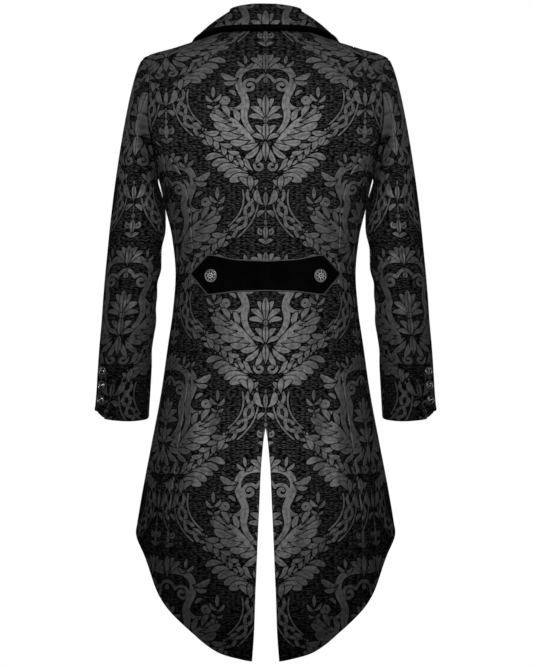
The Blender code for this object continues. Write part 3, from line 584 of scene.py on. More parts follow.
# Camera: place, lens and shift. Spotlights: name, place, aim, size, cone in degrees and watts.
# Then the height of the floor and the light of the room.
CAMERA_AT = (0.0, 3.5, -0.54)
CAMERA_LENS = 105.1
CAMERA_SHIFT = 0.00135
LIGHTS = (
    ("Key", (0.0, 2.5, 0.25), (0.0, 0.0, -0.22), 0.45, 29.0, 260.0),
    ("Key on the skirt", (0.0, 2.5, -0.2), (0.0, 0.0, -0.62), 0.15, 8.0, 75.0),
    ("Key on the vent", (0.0, 2.5, -0.3), (0.0, 0.0, -0.8), 0.15, 8.0, 150.0),
    ("Key on the tails", (0.0, 2.5, -0.4), (0.0, 0.0, -0.98), 0.15, 8.0, 75.0),
    ("Front key", (0.0, -2.5, 0.35), (0.0, 0.0, -0.4), 0.55, 66.0, 260.0),
    ("Side fill left", (2.6, -0.4, 0.3), (0.0, 0.0, -0.5), 0.6, 80.0, 9.0),
    ("Side fill right", (-2.6, -0.4, 0.3), (0.0, 0.0, -0.5), 0.6, 80.0, 9.0),
)
FLOOR = -1.165
WORLD_LIGHT = 0.05


def smooth_line(pairs):
    """A smooth line through pairs of place and value that never overshoots them."""
    ordered = sorted((float(place), float(value)) for place, value in pairs)
    place = np.array([pair[0] for pair in ordered])
    value = np.array([pair[1] for pair in ordered])
    step = np.diff(place)
    slope = np.diff(value) / step
    turn = np.zeros(len(place))
    for i in range(1, len(place) - 1):
        if slope[i - 1] * slope[i] > 0:
            near = 2 * step[i] + step[i - 1]
            far = step[i] + 2 * step[i - 1]
            turn[i] = (near + far) / (near / slope[i - 1] + far / slope[i])
    turn[0] = slope[0]
    turn[-1] = slope[-1]

    def line(at):
        at = np.clip(np.asarray(at, float), place[0], place[-1])
        i = np.clip(np.searchsorted(place, at) - 1, 0, len(step) - 1)
        t = (at - place[i]) / step[i]
        rise = value[i + 1] - value[i]
        bend = t * (1 - t) * step[i]
        return value[i] + rise * t * t * (3 - 2 * t) + bend * ((1 - t) * turn[i] - t * turn[i + 1])

    return line


def table_lines(rows, columns):
    """Smooth lines of each column of a table by its first column."""
    return {name: smooth_line([(row[0], row[k]) for row in rows]) for k, name in enumerate(columns) if k}


RING = table_lines(RINGS, RING_COLUMNS)
ARM = table_lines(SLEEVE_RINGS, SLEEVE_COLUMNS)
NECK = table_lines(COLLAR, COLLAR_COLUMNS)
HEM_LINE = smooth_line(HEM)
SEAM_LINE = smooth_line(SIDE_BACK_SEAM)
VENT_LINE = smooth_line(VENT)
BACK_SEAM_LINE = smooth_line(SLEEVE_BACK_SEAM)
CUFF_VENT_LINE = smooth_line(CUFF_VENT)
LAPEL_LINE = smooth_line(LAPEL_EDGE)
BAND_LINE = smooth_line(COLLAR_BAND_WIDTH)


def ease(value):
    """A soft step from 0 to 1."""
    value = np.clip(value, 0, 1)
    return value * value * (3 - 2 * value)


def unit(vector):
    return vector / np.maximum(np.linalg.norm(vector, axis=-1, keepdims=True), 1e-12)


# The coat's form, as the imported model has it


def body_folds(turn, height):
    """How far the soft folds move the body's face."""
    out = np.zeros(np.broadcast(turn, height).shape)
    for middle, width, depth, start, full in BODY_FOLDS:
        across = np.exp(-(((np.abs(turn) - middle) / width) ** 2))
        out = out + depth * across * ease((start - height) / (start - full))
    return out


def body(turn, height, lift=0.0):
    """A point on the body's outer face. The turn is 0 at the centre back and 180 at the centre front."""
    turn = np.asarray(turn, float)
    height = np.asarray(height, float)
    sine = np.sin(np.radians(turn))
    cosine = np.cos(np.radians(turn))
    square = RING["square"](height)
    side = RING["side"](height)
    depth = np.where(cosine > 0, RING["back"](height) - side, side - RING["front"](height))
    shrink = (np.abs(sine) ** square + np.abs(cosine) ** square) ** (-1 / square)
    x = RING["half_width"](height) * sine * shrink
    y = depth * cosine * shrink
    reach = np.maximum(np.hypot(x, y), 1.0)
    out = 1 + (body_folds(turn, height) + lift) / reach
    return np.stack(np.broadcast_arrays(x * out, side + y * out, height + 0 * x), axis=-1)


def body_facing(turn, height, lift=0.0):
    """The way out of the body's face."""
    across = body(turn + 0.5, height, lift) - body(turn - 0.5, height, lift)
    up = body(turn, height + 1.0, lift) - body(turn, height - 1.0, lift)
    return unit(np.cross(up, across))


def turn_at(x, height, front=False):
    """The turn whose point at this height has this half width."""
    square = RING["square"](height)
    share = np.clip(np.abs(x) / RING["half_width"](height), 0, 0.99999) ** square
    turn = np.degrees(np.arctan((share / (1 - share)) ** (1 / square)))
    return 180 - np.sign(x) * turn if front else np.sign(x) * turn


def armhole(turn):
    """The armhole's loop by a turn round it, 0 at the top and 90 behind: body turn, height."""
    turn = np.radians(turn)
    height = ARMHOLE_MIDDLE + ARMHOLE_RISE * np.cos(turn)
    side = RING["side"](height)
    low = RING["side"](ARMHOLE_MIDDLE - ARMHOLE_RISE)
    y = low * (1 - np.cos(turn)) / 2 + ARMHOLE_REACH * np.sin(turn) - side
    depth = np.where(y > 0, RING["back"](height) - side, side - RING["front"](height))
    square = RING["square"](height)
    share = np.clip(np.abs(y) / depth, 0, 0.99999) ** square
    across = np.degrees(np.arctan((share / (1 - share)) ** (1 / square)))
    return 90 - np.sign(y) * across, height


def armhole_at(height, behind):
    """The body turn of the armhole's edge at a height, on its back or front side."""
    turn = np.degrees(np.arccos(np.clip((height - ARMHOLE_MIDDLE) / ARMHOLE_RISE, -1, 1)))
    return armhole(turn if behind else -turn)[0]


def gap_turn(turn, height, gap):
    """The turn that a gap takes up at a place on the body."""
    near = body(turn + 0.25, height) - body(turn - 0.25, height)
    return gap * 0.5 / np.maximum(np.linalg.norm(near, axis=-1), 1e-9)


def slanting_gap(height):
    """Half of the seam's gap, measured across where the side-back seam slants."""
    slope = (SEAM_LINE(height + 2) - SEAM_LINE(height - 2)) / 4
    return SEAM_GAP / 2 * np.hypot(1.2, slope * 1.2)


def back_edge(height):
    """Outer edge of the back: shoulder seam, armhole, then the side-back seam."""
    edge = np.where(height < SIDE_BACK_TOP, turn_at(SEAM_LINE(height), height), armhole_at(height, True))
    edge = np.where(height >= SHOULDER_END, 90.0, edge)
    return edge - gap_turn(edge, height, np.where(height > SIDE_BACK_TOP, SEAM_GAP / 2, slanting_gap(height)))


def back_middle(height):
    """Centre-back edge, which opens along the vent."""
    return turn_at(np.where(height > VENT_TOP, SEAM_GAP / 2, VENT_LINE(height)), height)


def side_back_near(height):
    edge = turn_at(SEAM_LINE(height), height)
    return edge + gap_turn(edge, height, slanting_gap(height))


def side_back_far(height):
    return 90 - gap_turn(90.0, height, SEAM_GAP / 2)


def side_back_top(shares):
    """Height where each column of the side back meets the armhole."""
    low = np.full(len(shares), ARMHOLE_MIDDLE - ARMHOLE_RISE)
    high = np.full(len(shares), SIDE_BACK_TOP)
    for _ in range(40):
        middle = (low + high) / 2
        near = turn_at(SEAM_LINE(middle), middle)
        outside = near + (90 - near) * shares > armhole_at(middle, True)
        high = np.where(outside, middle, high)
        low = np.where(outside, low, middle)
    return low - SEAM_GAP / 2


def front_side_edge(height):
    """Edge of the front at the shoulder, armhole and side seam."""
    edge = np.where(height > ARMHOLE_MIDDLE - ARMHOLE_RISE, armhole_at(height, False), 90.0)
    edge = np.where(height >= SHOULDER_END, 90.0, edge)
    return edge + gap_turn(edge, height, SEAM_GAP / 2)


def roll_x(height):
    """Half width of the roll line, which runs straight from the neck to the front edge."""
    share = np.clip((ROLL_TOP[0] - height) / (ROLL_TOP[0] - ROLL_END[0]), 0, 1)
    return ROLL_TOP[1] + share * (ROLL_END[1] - ROLL_TOP[1])


def front_roll_edge(height):
    return turn_at(roll_x(height), height, True)


def front_lap(turns):
    """The left front steps over the right one."""
    return LAP_DEPTH * ease((turns - LAP_START) / (LAP_FULL - LAP_START))


def gorge(shares):
    """Height of the front's top edge, from the shoulder to the roll line."""
    return NECK_HEIGHT + (ROLL_TOP[0] - NECK_HEIGHT) * shares**1.6


def fit_panel(rows, shares, near_edge, far_edge, top, low_level):
    """Turns and heights of a panel between two edges, from its top edge down to the hem."""
    bottom = HEM_LINE(np.linspace(0, 90, len(shares)))
    for _ in range(40):
        near = near_edge(bottom)
        bottom = bottom + 0.6 * (HEM_LINE(near + (far_edge(bottom) - near) * shares) - bottom)
    rows = rows[:, None] * np.ones(len(shares))
    upper = low_level + (rows - low_level) * (top - low_level) / (rows[0] - low_level)
    lower = WAIST + (rows - WAIST) * (bottom - WAIST) / (HEM_END - WAIST)
    heights = np.where(rows > low_level, upper, np.where(rows < WAIST, lower, rows))
    near = near_edge(heights)
    return near + (far_edge(heights) - near) * shares, heights


def tube(turn, height):
    """A point of the sleeve below the biceps."""
    inner = ARM["inner"](height)
    outer = ARM["outer"](height)
    sine = np.sin(np.radians(turn))
    cosine = np.cos(np.radians(turn))
    shrink = (np.abs(sine) ** SLEEVE_SQUARE + np.abs(cosine) ** SLEEVE_SQUARE) ** (-1 / SLEEVE_SQUARE)
    folds = 0.0
    for level, slope, width, depth, middle, spread in SLEEVE_FOLDS:
        away = (np.asarray(turn) - middle + 180) % 360 - 180
        across = (height - level - slope * away) / width
        folds = folds + depth * np.exp(-(across**2) - (away / spread) ** 2)
    x = (inner + outer) / 2 + ((outer - inner) / 2 + folds) * cosine * shrink
    y = ARM["middle"](height) + (ARM["half_depth"](height) + folds) * sine * shrink
    return np.stack(np.broadcast_arrays(x, y, height + 0 * x), axis=-1)


def cap_start(turn):
    """Where the sleeve leaves the armhole, and the way it goes."""
    at = body(*armhole(turn))
    along = unit(body(*armhole(turn + 0.5)) - body(*armhole(turn - 0.5)))
    flat = unit(body_facing(*armhole(turn)))
    into = unit(np.cross(flat, along))
    middle = np.array(ARMHOLE_CENTRE)
    into = into * np.sign(np.sum(into * (middle - at), axis=-1, keepdims=True))
    sine = np.sin(np.radians(turn))
    side, back, down = CAP_WAY
    way = unit(np.stack(np.broadcast_arrays(side + 0 * sine, back * sine, down + 0 * sine), axis=-1))
    wall = unit(np.cross(way, along))
    wall = wall * np.sign(np.sum(wall * (at - middle), axis=-1, keepdims=True))
    lean = np.maximum(0, CLOTH * np.sum(wall * into, axis=-1, keepdims=True))
    return at + into * (ARMHOLE_GAP + lean), way


def sleeve(turn, along):
    """A point on the sleeve's outer face: 0 at the armhole, 1 at the biceps, 2 at the cuff level."""
    turn, along = np.broadcast_arrays(np.asarray(turn, float), np.asarray(along, float))
    cosine = np.cos(np.radians(turn))[..., None]
    twice = np.cos(np.radians(2 * turn))[..., None]
    start, way = cap_start(turn)
    end = tube(turn, BICEPS)
    down = tube(turn, BICEPS - 1.0) - end
    leave = CAP_LEAVE[0] + CAP_LEAVE[1] * cosine + CAP_LEAVE[2] * twice
    arrive = CAP_ARRIVE[0] + CAP_ARRIVE[1] * cosine + CAP_ARRIVE[2] * twice
    t = np.clip(along, 0, 1)[..., None]
    control = start + leave * way
    settle = end - arrive * down
    cap = (1 - t) ** 3 * start + 3 * t * (1 - t) ** 2 * control + 3 * t * t * (1 - t) * settle + t**3 * end
    lower = tube(turn, BICEPS + (along - 1) * (CUFF_LEVEL - BICEPS))
    return np.where(along[..., None] < 1, cap, lower)


def sleeve_facing(turn, along):
    across = sleeve(turn + 0.6, along) - sleeve(turn - 0.6, along)
    up = sleeve(turn, np.maximum(along - 0.004, 0)) - sleeve(turn, np.minimum(along + 0.004, 2))
    return unit(np.cross(across, up))


def sleeve_height(along):
    """The level by which seams and vents of the sleeve are placed."""
    cap = SHOULDER_END + (BICEPS - SHOULDER_END) * along
    return np.where(along < 1, cap, BICEPS + (along - 1) * (CUFF_LEVEL - BICEPS))


def sleeve_edges(stem):
    """Turns of a sleeve panel's two edges, by the way along the sleeve."""
    along = np.linspace(0, 2, 241)
    height = sleeve_height(along)
    plain = SEAM_GAP / 2 + 0 * along
    open_gap = np.where(height < CUFF_VENT[0][0], CUFF_VENT_LINE(height), plain)
    edges = []
    for turn, gap in ((BACK_SEAM_LINE(height), open_gap), (SLEEVE_FRONT_SEAM + 0 * along, plain)):
        near = sleeve(turn + 0.25, along) - sleeve(turn - 0.25, along)
        edges.append((turn, gap * 0.5 / np.linalg.norm(near, axis=-1)))
    (back, back_gap), (front, front_gap) = edges
    if stem == "top_sleeve":
        near, far = front + front_gap, back - back_gap
    else:
        near, far = back + back_gap, 360 + front - front_gap
    return lambda at: np.interp(at, along, near), lambda at: np.interp(at, along, far)


def collar_point(turn, name):
    x, y, z = (NECK[name + axis](np.abs(turn)) for axis in ("_x", "_y", "_z"))
    return np.stack((x * np.where(turn < 0, -1, 1), y, z), axis=-1)


def collar_section(turn):
    """The collar's cut line at each turn: up the stand, over the fold, down the fall and the band."""
    seam = collar_point(turn, "seam")
    fold = collar_point(turn, "fold")
    edge = collar_point(turn, "edge")
    out = unit((edge - fold) * (1, 1, 0))
    up = np.array((0.0, 0.0, 1.0))
    rise = np.clip((fold - seam)[:, 2:] / STAND_HEIGHT, 0.06, 1)
    radius = FOLD_RADIUS * (0.55 + 0.45 * rise)
    inside = fold - out * radius
    stand_top = inside - up * 5 * rise
    outside = fold + out * radius
    fall_top = outside - up * 4 * rise
    width = np.linalg.norm(edge - fall_top, axis=-1, keepdims=True)
    band = BAND_LINE(np.abs(turn))[:, None] / width
    belly = unit(np.cross(edge - fall_top, np.cross(up, edge - fall_top)))
    belly = belly * np.sign(belly[:, 2:])
    section = [seam - up * STAND_TUCK, seam + (stand_top - seam) * 0.5, stand_top, inside - up * 1.6 * rise]
    section += [fold - out * radius * 0.5, fold + out * radius * 0.5, outside - up * 1.4 * rise, fall_top]
    fall = len(section)
    for share in (0.33, 0.66, 1.0):
        at = share * (1 - band - SEAM_GAP / width)
        section.append(fall_top + (edge - fall_top) * at + belly * FALL_BELLY * np.sin(np.pi * at))
    strip = []
    for share in (0.0, 0.5, 1.0):
        at = 1 - band + band * share
        strip.append(fall_top + (edge - fall_top) * at + belly * FALL_BELLY * np.sin(np.pi * at))
    section = np.array(section)
    section[fall:] = clear_of_body(section[fall:], COLLAR_CLEAR)
    return section, clear_of_body(np.array(strip), COLLAR_CLEAR)


def outside_body(points):
    """How far points lie outside the body's face, and the way out."""
    def level(at):
        square = RING["square"](at[..., 2])
        side = RING["side"](at[..., 2])
        behind = at[..., 1] > side
        depth = np.where(behind, RING["back"](at[..., 2]) - side, side - RING["front"](at[..., 2]))
        across = (np.abs(at[..., 0]) / RING["half_width"](at[..., 2])) ** square
        return (across + (np.abs(at[..., 1] - side) / depth) ** square) ** (1 / square) - 1

    step = np.eye(3) * 0.5
    rise = np.stack([level(points + step[k]) - level(points - step[k]) for k in range(3)], axis=-1)
    size = np.maximum(np.linalg.norm(rise, axis=-1), 1e-9)
    return level(points) / size, rise / size[..., None]


def clear_of_body(points, gap):
    """Points below the neck line moved out until they are this far off the body."""
    for _ in range(12):
        away, out = outside_body(points)
        need = np.clip(gap - away, 0, 6) * (points[..., 2] < NECK_HEIGHT)
        points = points + out * need[..., None]
    return points


def grid_facing(grid):
    """Outward directions of a grid whose rows run down the outside and whose columns run round."""
    return unit(np.cross(np.gradient(grid, axis=1), np.gradient(grid, axis=0)))


# The brocade's figure


def pull(row, steps):
    """A soft curve from a start to an end, drawn by two pulls."""
    at = np.linspace(0, 1, steps)[:, None]
    start, first, second, end = np.array(row, float).reshape(4, 2)
    early = (1 - at) ** 3 * start + 3 * at * (1 - at) ** 2 * first
    return early + 3 * at * at * (1 - at) * second + at**3 * end


def stem_line(row):
    """A stem that grows thicker or thinner along its curve."""
    line = pull(row[:8], 16)
    return line, np.linspace(row[8], row[9], len(line))


def leaf_line(base_x, base_y, tip_x, tip_y, bend, half, widest, lobes, notch):
    """A leaf's middle line and its half width along it."""
    base = np.array((base_x, base_y), float)
    tip = np.array((tip_x, tip_y), float)
    side = np.array((tip[1] - base[1], base[0] - tip[0])) / np.hypot(*(tip - base))
    at = np.linspace(0, 1, max(10, 7 * int(lobes) + 1))
    line = base + (tip - base) * at[:, None] + side * (4 * bend * at * (1 - at))[:, None]
    shape = np.sin(np.pi * at ** (np.log(0.5) / np.log(widest))) ** 0.75
    width = half * shape * (1 - notch * (1 - (at * lobes) % 1.0) ** 1.6)
    return line, np.maximum(width, 0.35)


def spray_leaves(row):
    """Leaves that overlap along a curve on one or both sides, and one at its end."""
    line = pull(row[:8], 41)
    count, length, half = row[8:11]
    rows = []
    for k in range(count + 1):
        at = min(39, 38 * k // count)
        way = (line[at + 1] - line[at]) / np.hypot(*(line[at + 1] - line[at]))
        size = 1 - SPRAY_SHRINK * k / count
        for side, spread in ((-1, row[11]), (1, row[12])) if k < count else ((1, 4),):
            if spread:
                turn = side * np.radians(spread)
                cosine, sine = np.cos(turn), np.sin(turn)
                ahead = np.array((way[0] * cosine - way[1] * sine, way[0] * sine + way[1] * cosine))
                tip = line[at] + ahead * length * size
                rows.append((*line[at], *tip, SPRAY_BEND * side * length, half * size, SPRAY_WIDEST, 1, 0.0))
    return rows[::-1]


def scroll_line(x, y, start, end, angle, turn, near, far):
    """A curl that winds in towards its centre."""
    at = np.linspace(0, 1, 34)
    ray = start + (end - start) * at**0.85
    way = np.radians(angle + turn * at)
    return np.stack((x + ray * np.cos(way), y + ray * np.sin(way)), axis=1), near + (far - near) * at


def berry_line(x, y, across, down):
    tall = max(down - across, 0.01)
    return np.array(((x, y - tall), (x, y + tall))), np.array((across, across))


def braid_lines():
    """Two strands that cross at each twist, and the two borders beside them."""
    line = pull(BRAID, 90)
    step = np.gradient(line, axis=0)
    size = np.hypot(step[:, 0], step[:, 1])
    length = np.concatenate(([0], np.cumsum((size[1:] + size[:-1]) / 2)))
    side = np.stack((step[:, 1], -step[:, 0]), axis=1) / size[:, None]
    swing = (BRAID_REACH * np.sin(np.pi * length / BRAID_TWIST))[:, None]
    strands = [(line + side * swing * sign, np.full(len(line), BRAID_STRAND)) for sign in (1, -1)]
    borders = [(line + side * BRAID_BORDER * sign, np.full(len(line), BRAID_EDGE)) for sign in (1, -1)]
    return strands, borders


def images(line):
    """A stroke where it stands in the chart, and its mirror images and repeats."""
    for flip in (1, -1):
        for lower in (False, True):
            copy = line * (flip, 1)
            if lower:
                copy = np.stack((MIRROR - copy[:, 0], copy[:, 1] + REPEAT / 2), axis=1)
            for again in (-2, -1, 0, 1):
                yield copy + (0, again * REPEAT), flip * (-1 if lower else 1)


def stroke(x, y, line, half):
    """How far each stitch lies inside a stroke, with its place across and along it."""
    inside = np.full(np.broadcast(x, y).shape, -99.0)
    side = np.zeros(inside.shape)
    along = np.zeros(inside.shape)
    for k in range(len(line) - 1):
        (ax, ay), (bx, by) = line[k], line[k + 1]
        dx, dy = bx - ax, by - ay
        length = max(np.hypot(dx, dy), 1e-6)
        t = np.clip(((x - ax) * dx + (y - ay) * dy) / length**2, 0, 1)
        away = np.hypot(x - ax - t * dx, y - ay - t * dy)
        width = half[k] + t * (half[k + 1] - half[k])
        better = width - away > inside
        inside = np.where(better, width - away, inside)
        turned = np.sign((x - ax) * dy - (y - ay) * dx)
        side = np.where(better, turned * away / np.maximum(width, 0.5), side)
        along = np.where(better, (k + t) / (len(line) - 1), along)
    return inside, side, along


def lay(chart, strokes, gap=OUTLINE):
    """Lays strokes into the chart as one shape, with a dark outline round it."""
    figure, rib, run = chart
    rows, columns = figure.shape
    placed = []
    for line, half in strokes:
        reach = half.max() + gap + 3
        for copy, turned in images(line):
            c0, r0 = (max(0, int(v)) for v in (copy.min(axis=0) - reach) / STITCH)
            c1, r1 = (int(v) + 2 for v in (copy.max(axis=0) + reach) / STITCH)
            c1, r1 = min(columns, c1), min(rows, r1)
            if c0 < c1 and r0 < r1:
                x = (np.arange(c0, c1) * STITCH)[None, :]
                y = (np.arange(r0, r1) * STITCH)[:, None]
                placed.append(((slice(r0, r1), slice(c0, c1)), turned, stroke(x, y, copy, half)))
    for place, turned, (inside, side, along) in placed:
        figure[place] = np.minimum(figure[place], -(inside + gap))
    for place, turned, (inside, side, along) in placed:
        top = inside > figure[place]
        figure[place][top] = inside[top]
        rib[place][top] = side[top] * turned
        run[place][top] = along[top]


def make_chart():
    """The figure's chart: how far inside a motif each stitch is, and its place across and along it."""
    rows, columns = int(round(REPEAT / STITCH)), int(round(MIRROR / STITCH)) + 1
    chart = np.full((rows, columns), GROUND), np.zeros((rows, columns)), np.zeros((rows, columns))
    for row in STEMS:
        lay(chart, [stem_line(row)])
    strands, borders = braid_lines()
    for line, half in borders:
        lay(chart, [(line[::6], half[::6])])
    for start in range(0, len(strands[0][0]) - 1, 9):
        for line, half in strands:
            part = slice(start, min(start + 11, len(line)))
            lay(chart, [(line[part], half[part])], 0.6)
    lay(chart, [stem_line(row) for row in SCROLL_STEMS] + [scroll_line(*row) for row in SCROLLS])
    for row in RINGS_OF_THREAD:
        lay(chart, [scroll_line(*row)])
    for row in [leaf for spray in SPRAYS for leaf in spray_leaves(spray)] + list(LEAVES):
        lay(chart, [leaf_line(*row)])
    for row in BERRIES:
        lay(chart, [berry_line(*row)])
    return chart


CHART = make_chart()


def figure_at(across, down):
    """The figure at places on the cloth: how far inside, place across and place along."""
    x = np.abs((across + MIRROR) % (2 * MIRROR) - MIRROR) / STITCH
    y = down * DROP % REPEAT / STITCH
    rows, columns = CHART[0].shape
    c0 = np.clip(x.astype(int), 0, columns - 2)
    r0 = y.astype(int) % rows
    r1 = (r0 + 1) % rows
    fx, fy = np.clip(x - c0, 0, 1), y - y.astype(int)
    top = CHART[0][r0, c0] * (1 - fx) + CHART[0][r0, c0 + 1] * fx
    low = CHART[0][r1, c0] * (1 - fx) + CHART[0][r1, c0 + 1] * fx
    near = np.where(fy > 0.5, r1, r0), c0 + (fx > 0.5)
    return top * (1 - fy) + low * fy, CHART[1][near], CHART[2][near]


# The fine cloth


def fine_rows(first, last, places, spacing):
    """Row values evenly spaced along the cloth, in a whole number of backing steps."""
    trial = np.linspace(first, last, 900)
    step = np.linalg.norm(np.diff(places(trial), axis=0), axis=-1).mean(axis=-1)
    total = np.concatenate(([0], np.cumsum(step)))
    count = INNER_STEP * max(1, round(total[-1] / spacing / INNER_STEP))
    return np.interp(np.linspace(0, total[-1], count + 1), total, trial)


def cloth_places(grid, out, guide, column, row, across, down, straight):
    """Places on the cut cloth, in millimetres from its mirror line, for each point of a grid.

    The reference column runs with the grain where it is straight. The guide is the way up the cloth.
    """
    level = unit(np.cross(out, guide))
    fall = np.cross(out, level)
    fall = fall * np.sign(-np.sum(fall * guide, axis=-1, keepdims=True))

    def run(axis):
        step = np.diff(grid, axis=axis)
        first = (slice(None, -1), slice(None)) if axis == 0 else (slice(None), slice(None, -1))
        second = (slice(1, None), slice(None)) if axis == 0 else (slice(None), slice(1, None))
        return [np.sum(step * (way[first] + way[second]) / 2, axis=-1) for way in (level, fall)]

    side, drop = (part[:, column] for part in run(0))
    length = np.linalg.norm(np.diff(grid[:, column], axis=0), axis=-1)
    side = np.where(straight[:-1], 0, side)
    drop = np.where(straight[:-1], length, drop)
    start_across = np.concatenate(([0], np.cumsum(side)))
    start_down = np.concatenate(([0], np.cumsum(drop)))
    start_across += across - start_across[row]
    start_down += down - start_down[row]
    steps = [np.cumsum(part, axis=1) for part in run(1)]
    side, drop = (np.concatenate((np.zeros((len(grid), 1)), part), axis=1) for part in steps)
    side += (start_across - side[:, column])[:, None]
    drop += (start_down - drop[:, column])[:, None]
    return side, drop


def crease_depth(points, out):
    """How far the creases move each point of the cloth along its facing."""
    moved = np.zeros(points.shape[:2])
    for view, x0, z0, x1, z1, width, depth, bow in CREASES:
        reach = CREASE_REACH * width + abs(bow)
        x, z = points[..., 0], points[..., 2]
        near = (x > min(x0, x1) - reach) & (x < max(x0, x1) + reach)
        near &= (z > min(z0, z1) - reach) & (z < max(z0, z1) + reach)
        near &= (out[..., 1] > 0) if view == "back" else (out[..., 1] < 0)
        if near.any():
            dx, dz = x1 - x0, z1 - z0
            length = np.hypot(dx, dz)
            px, pz = x[near] - x0, z[near] - z0
            t = (px * dx + pz * dz) / length**2
            away = (px * dz - pz * dx) / length - bow * 4 * t * (1 - t)
            taper = ease((t + 0.12) / 0.35) * ease((1.12 - t) / 0.45)
            trough = np.exp(-((away / width) ** 2))
            ridge = 0.0
            for share, place, spread in CREASE_RIDGES:
                ridge = ridge + share * np.exp(-(((away - place * width) / (spread * width)) ** 2))
            facing = ease(np.abs(out[..., 1][near]) * 1.6)
            moved[near] += depth * taper * facing * (ridge - trough)
    return moved


def edge_ways(grid):
    """Distances of each point from the four edges of its grid, in the order near, far, top, low."""
    round_step = np.linalg.norm(np.diff(grid, axis=1), axis=-1)
    down_step = np.linalg.norm(np.diff(grid, axis=0), axis=-1)
    near = np.concatenate((np.zeros((len(grid), 1)), np.cumsum(round_step, axis=1)), axis=1)
    top = np.concatenate((np.zeros((1, grid.shape[1])), np.cumsum(down_step, axis=0)), axis=0)
    return near, near[:, -1:] - near, top, top[-1:] - top


def edge_depth(grid, kinds):
    """How the cloth sinks into its seams and rolls over its turned edges."""
    moved = np.zeros(grid.shape[:2])
    for kind, away in zip(kinds, edge_ways(grid)):
        if kind:
            dip, reach, swell, place, width = EDGE_SHAPES[kind]
            moved += -dip * np.exp(-away / reach) + swell * np.exp(-(((away - place) / width) ** 2))
    return moved


def band_crown(grid, crown):
    """How far a velvet band stands up from its seam line, rounded off at its edges."""
    high, fall = crown
    return high - fall * np.exp(-np.minimum.reduce(edge_ways(grid)) / BAND_EDGE)


def bake_places(rows, columns, faces):
    """Places of the outer face's corners on the baked image, in two strips side by side."""
    down, across = np.divmod(faces, columns)
    long, span, short, width = down, rows - 1, across, columns - 1
    if columns > rows:
        long, span, short, width = across, columns - 1, down, rows - 1
    half = span // 2
    second = (long.min(axis=1, keepdims=True) >= half) * 1
    u = 0.005 + 0.4 * second + 0.39 * short / width
    v = 0.005 + 0.99 * (long - half * second) / (span - half)
    return np.stack((u, v), axis=-1)


def back_places(rows, columns, faces):
    """Places of the inner face's corners on the baked image, beside the outer face."""
    down, across = np.divmod(faces, columns)
    if columns > rows:
        down, across, rows, columns = across, down, columns, rows
    return np.stack((0.805 + 0.19 * across / (columns - 1), 0.005 + 0.99 * down / (rows - 1)), axis=-1)


def grid_faces(rows, columns):
    a = (np.arange(rows - 1)[:, None] * columns + np.arange(columns - 1)).ravel()
    return np.stack((a, a + 1, a + columns + 1, a + columns), axis=1)


def rim_line(rows, columns):
    """Points round a grid's edge, from its first corner along its first row."""
    top = np.arange(columns - 1)
    right = np.arange(rows - 1) * columns + columns - 1
    low = (rows - 1) * columns + np.arange(columns - 1, 0, -1)
    left = np.arange(rows - 1, 0, -1) * columns
    return np.concatenate((top, right, low, left))


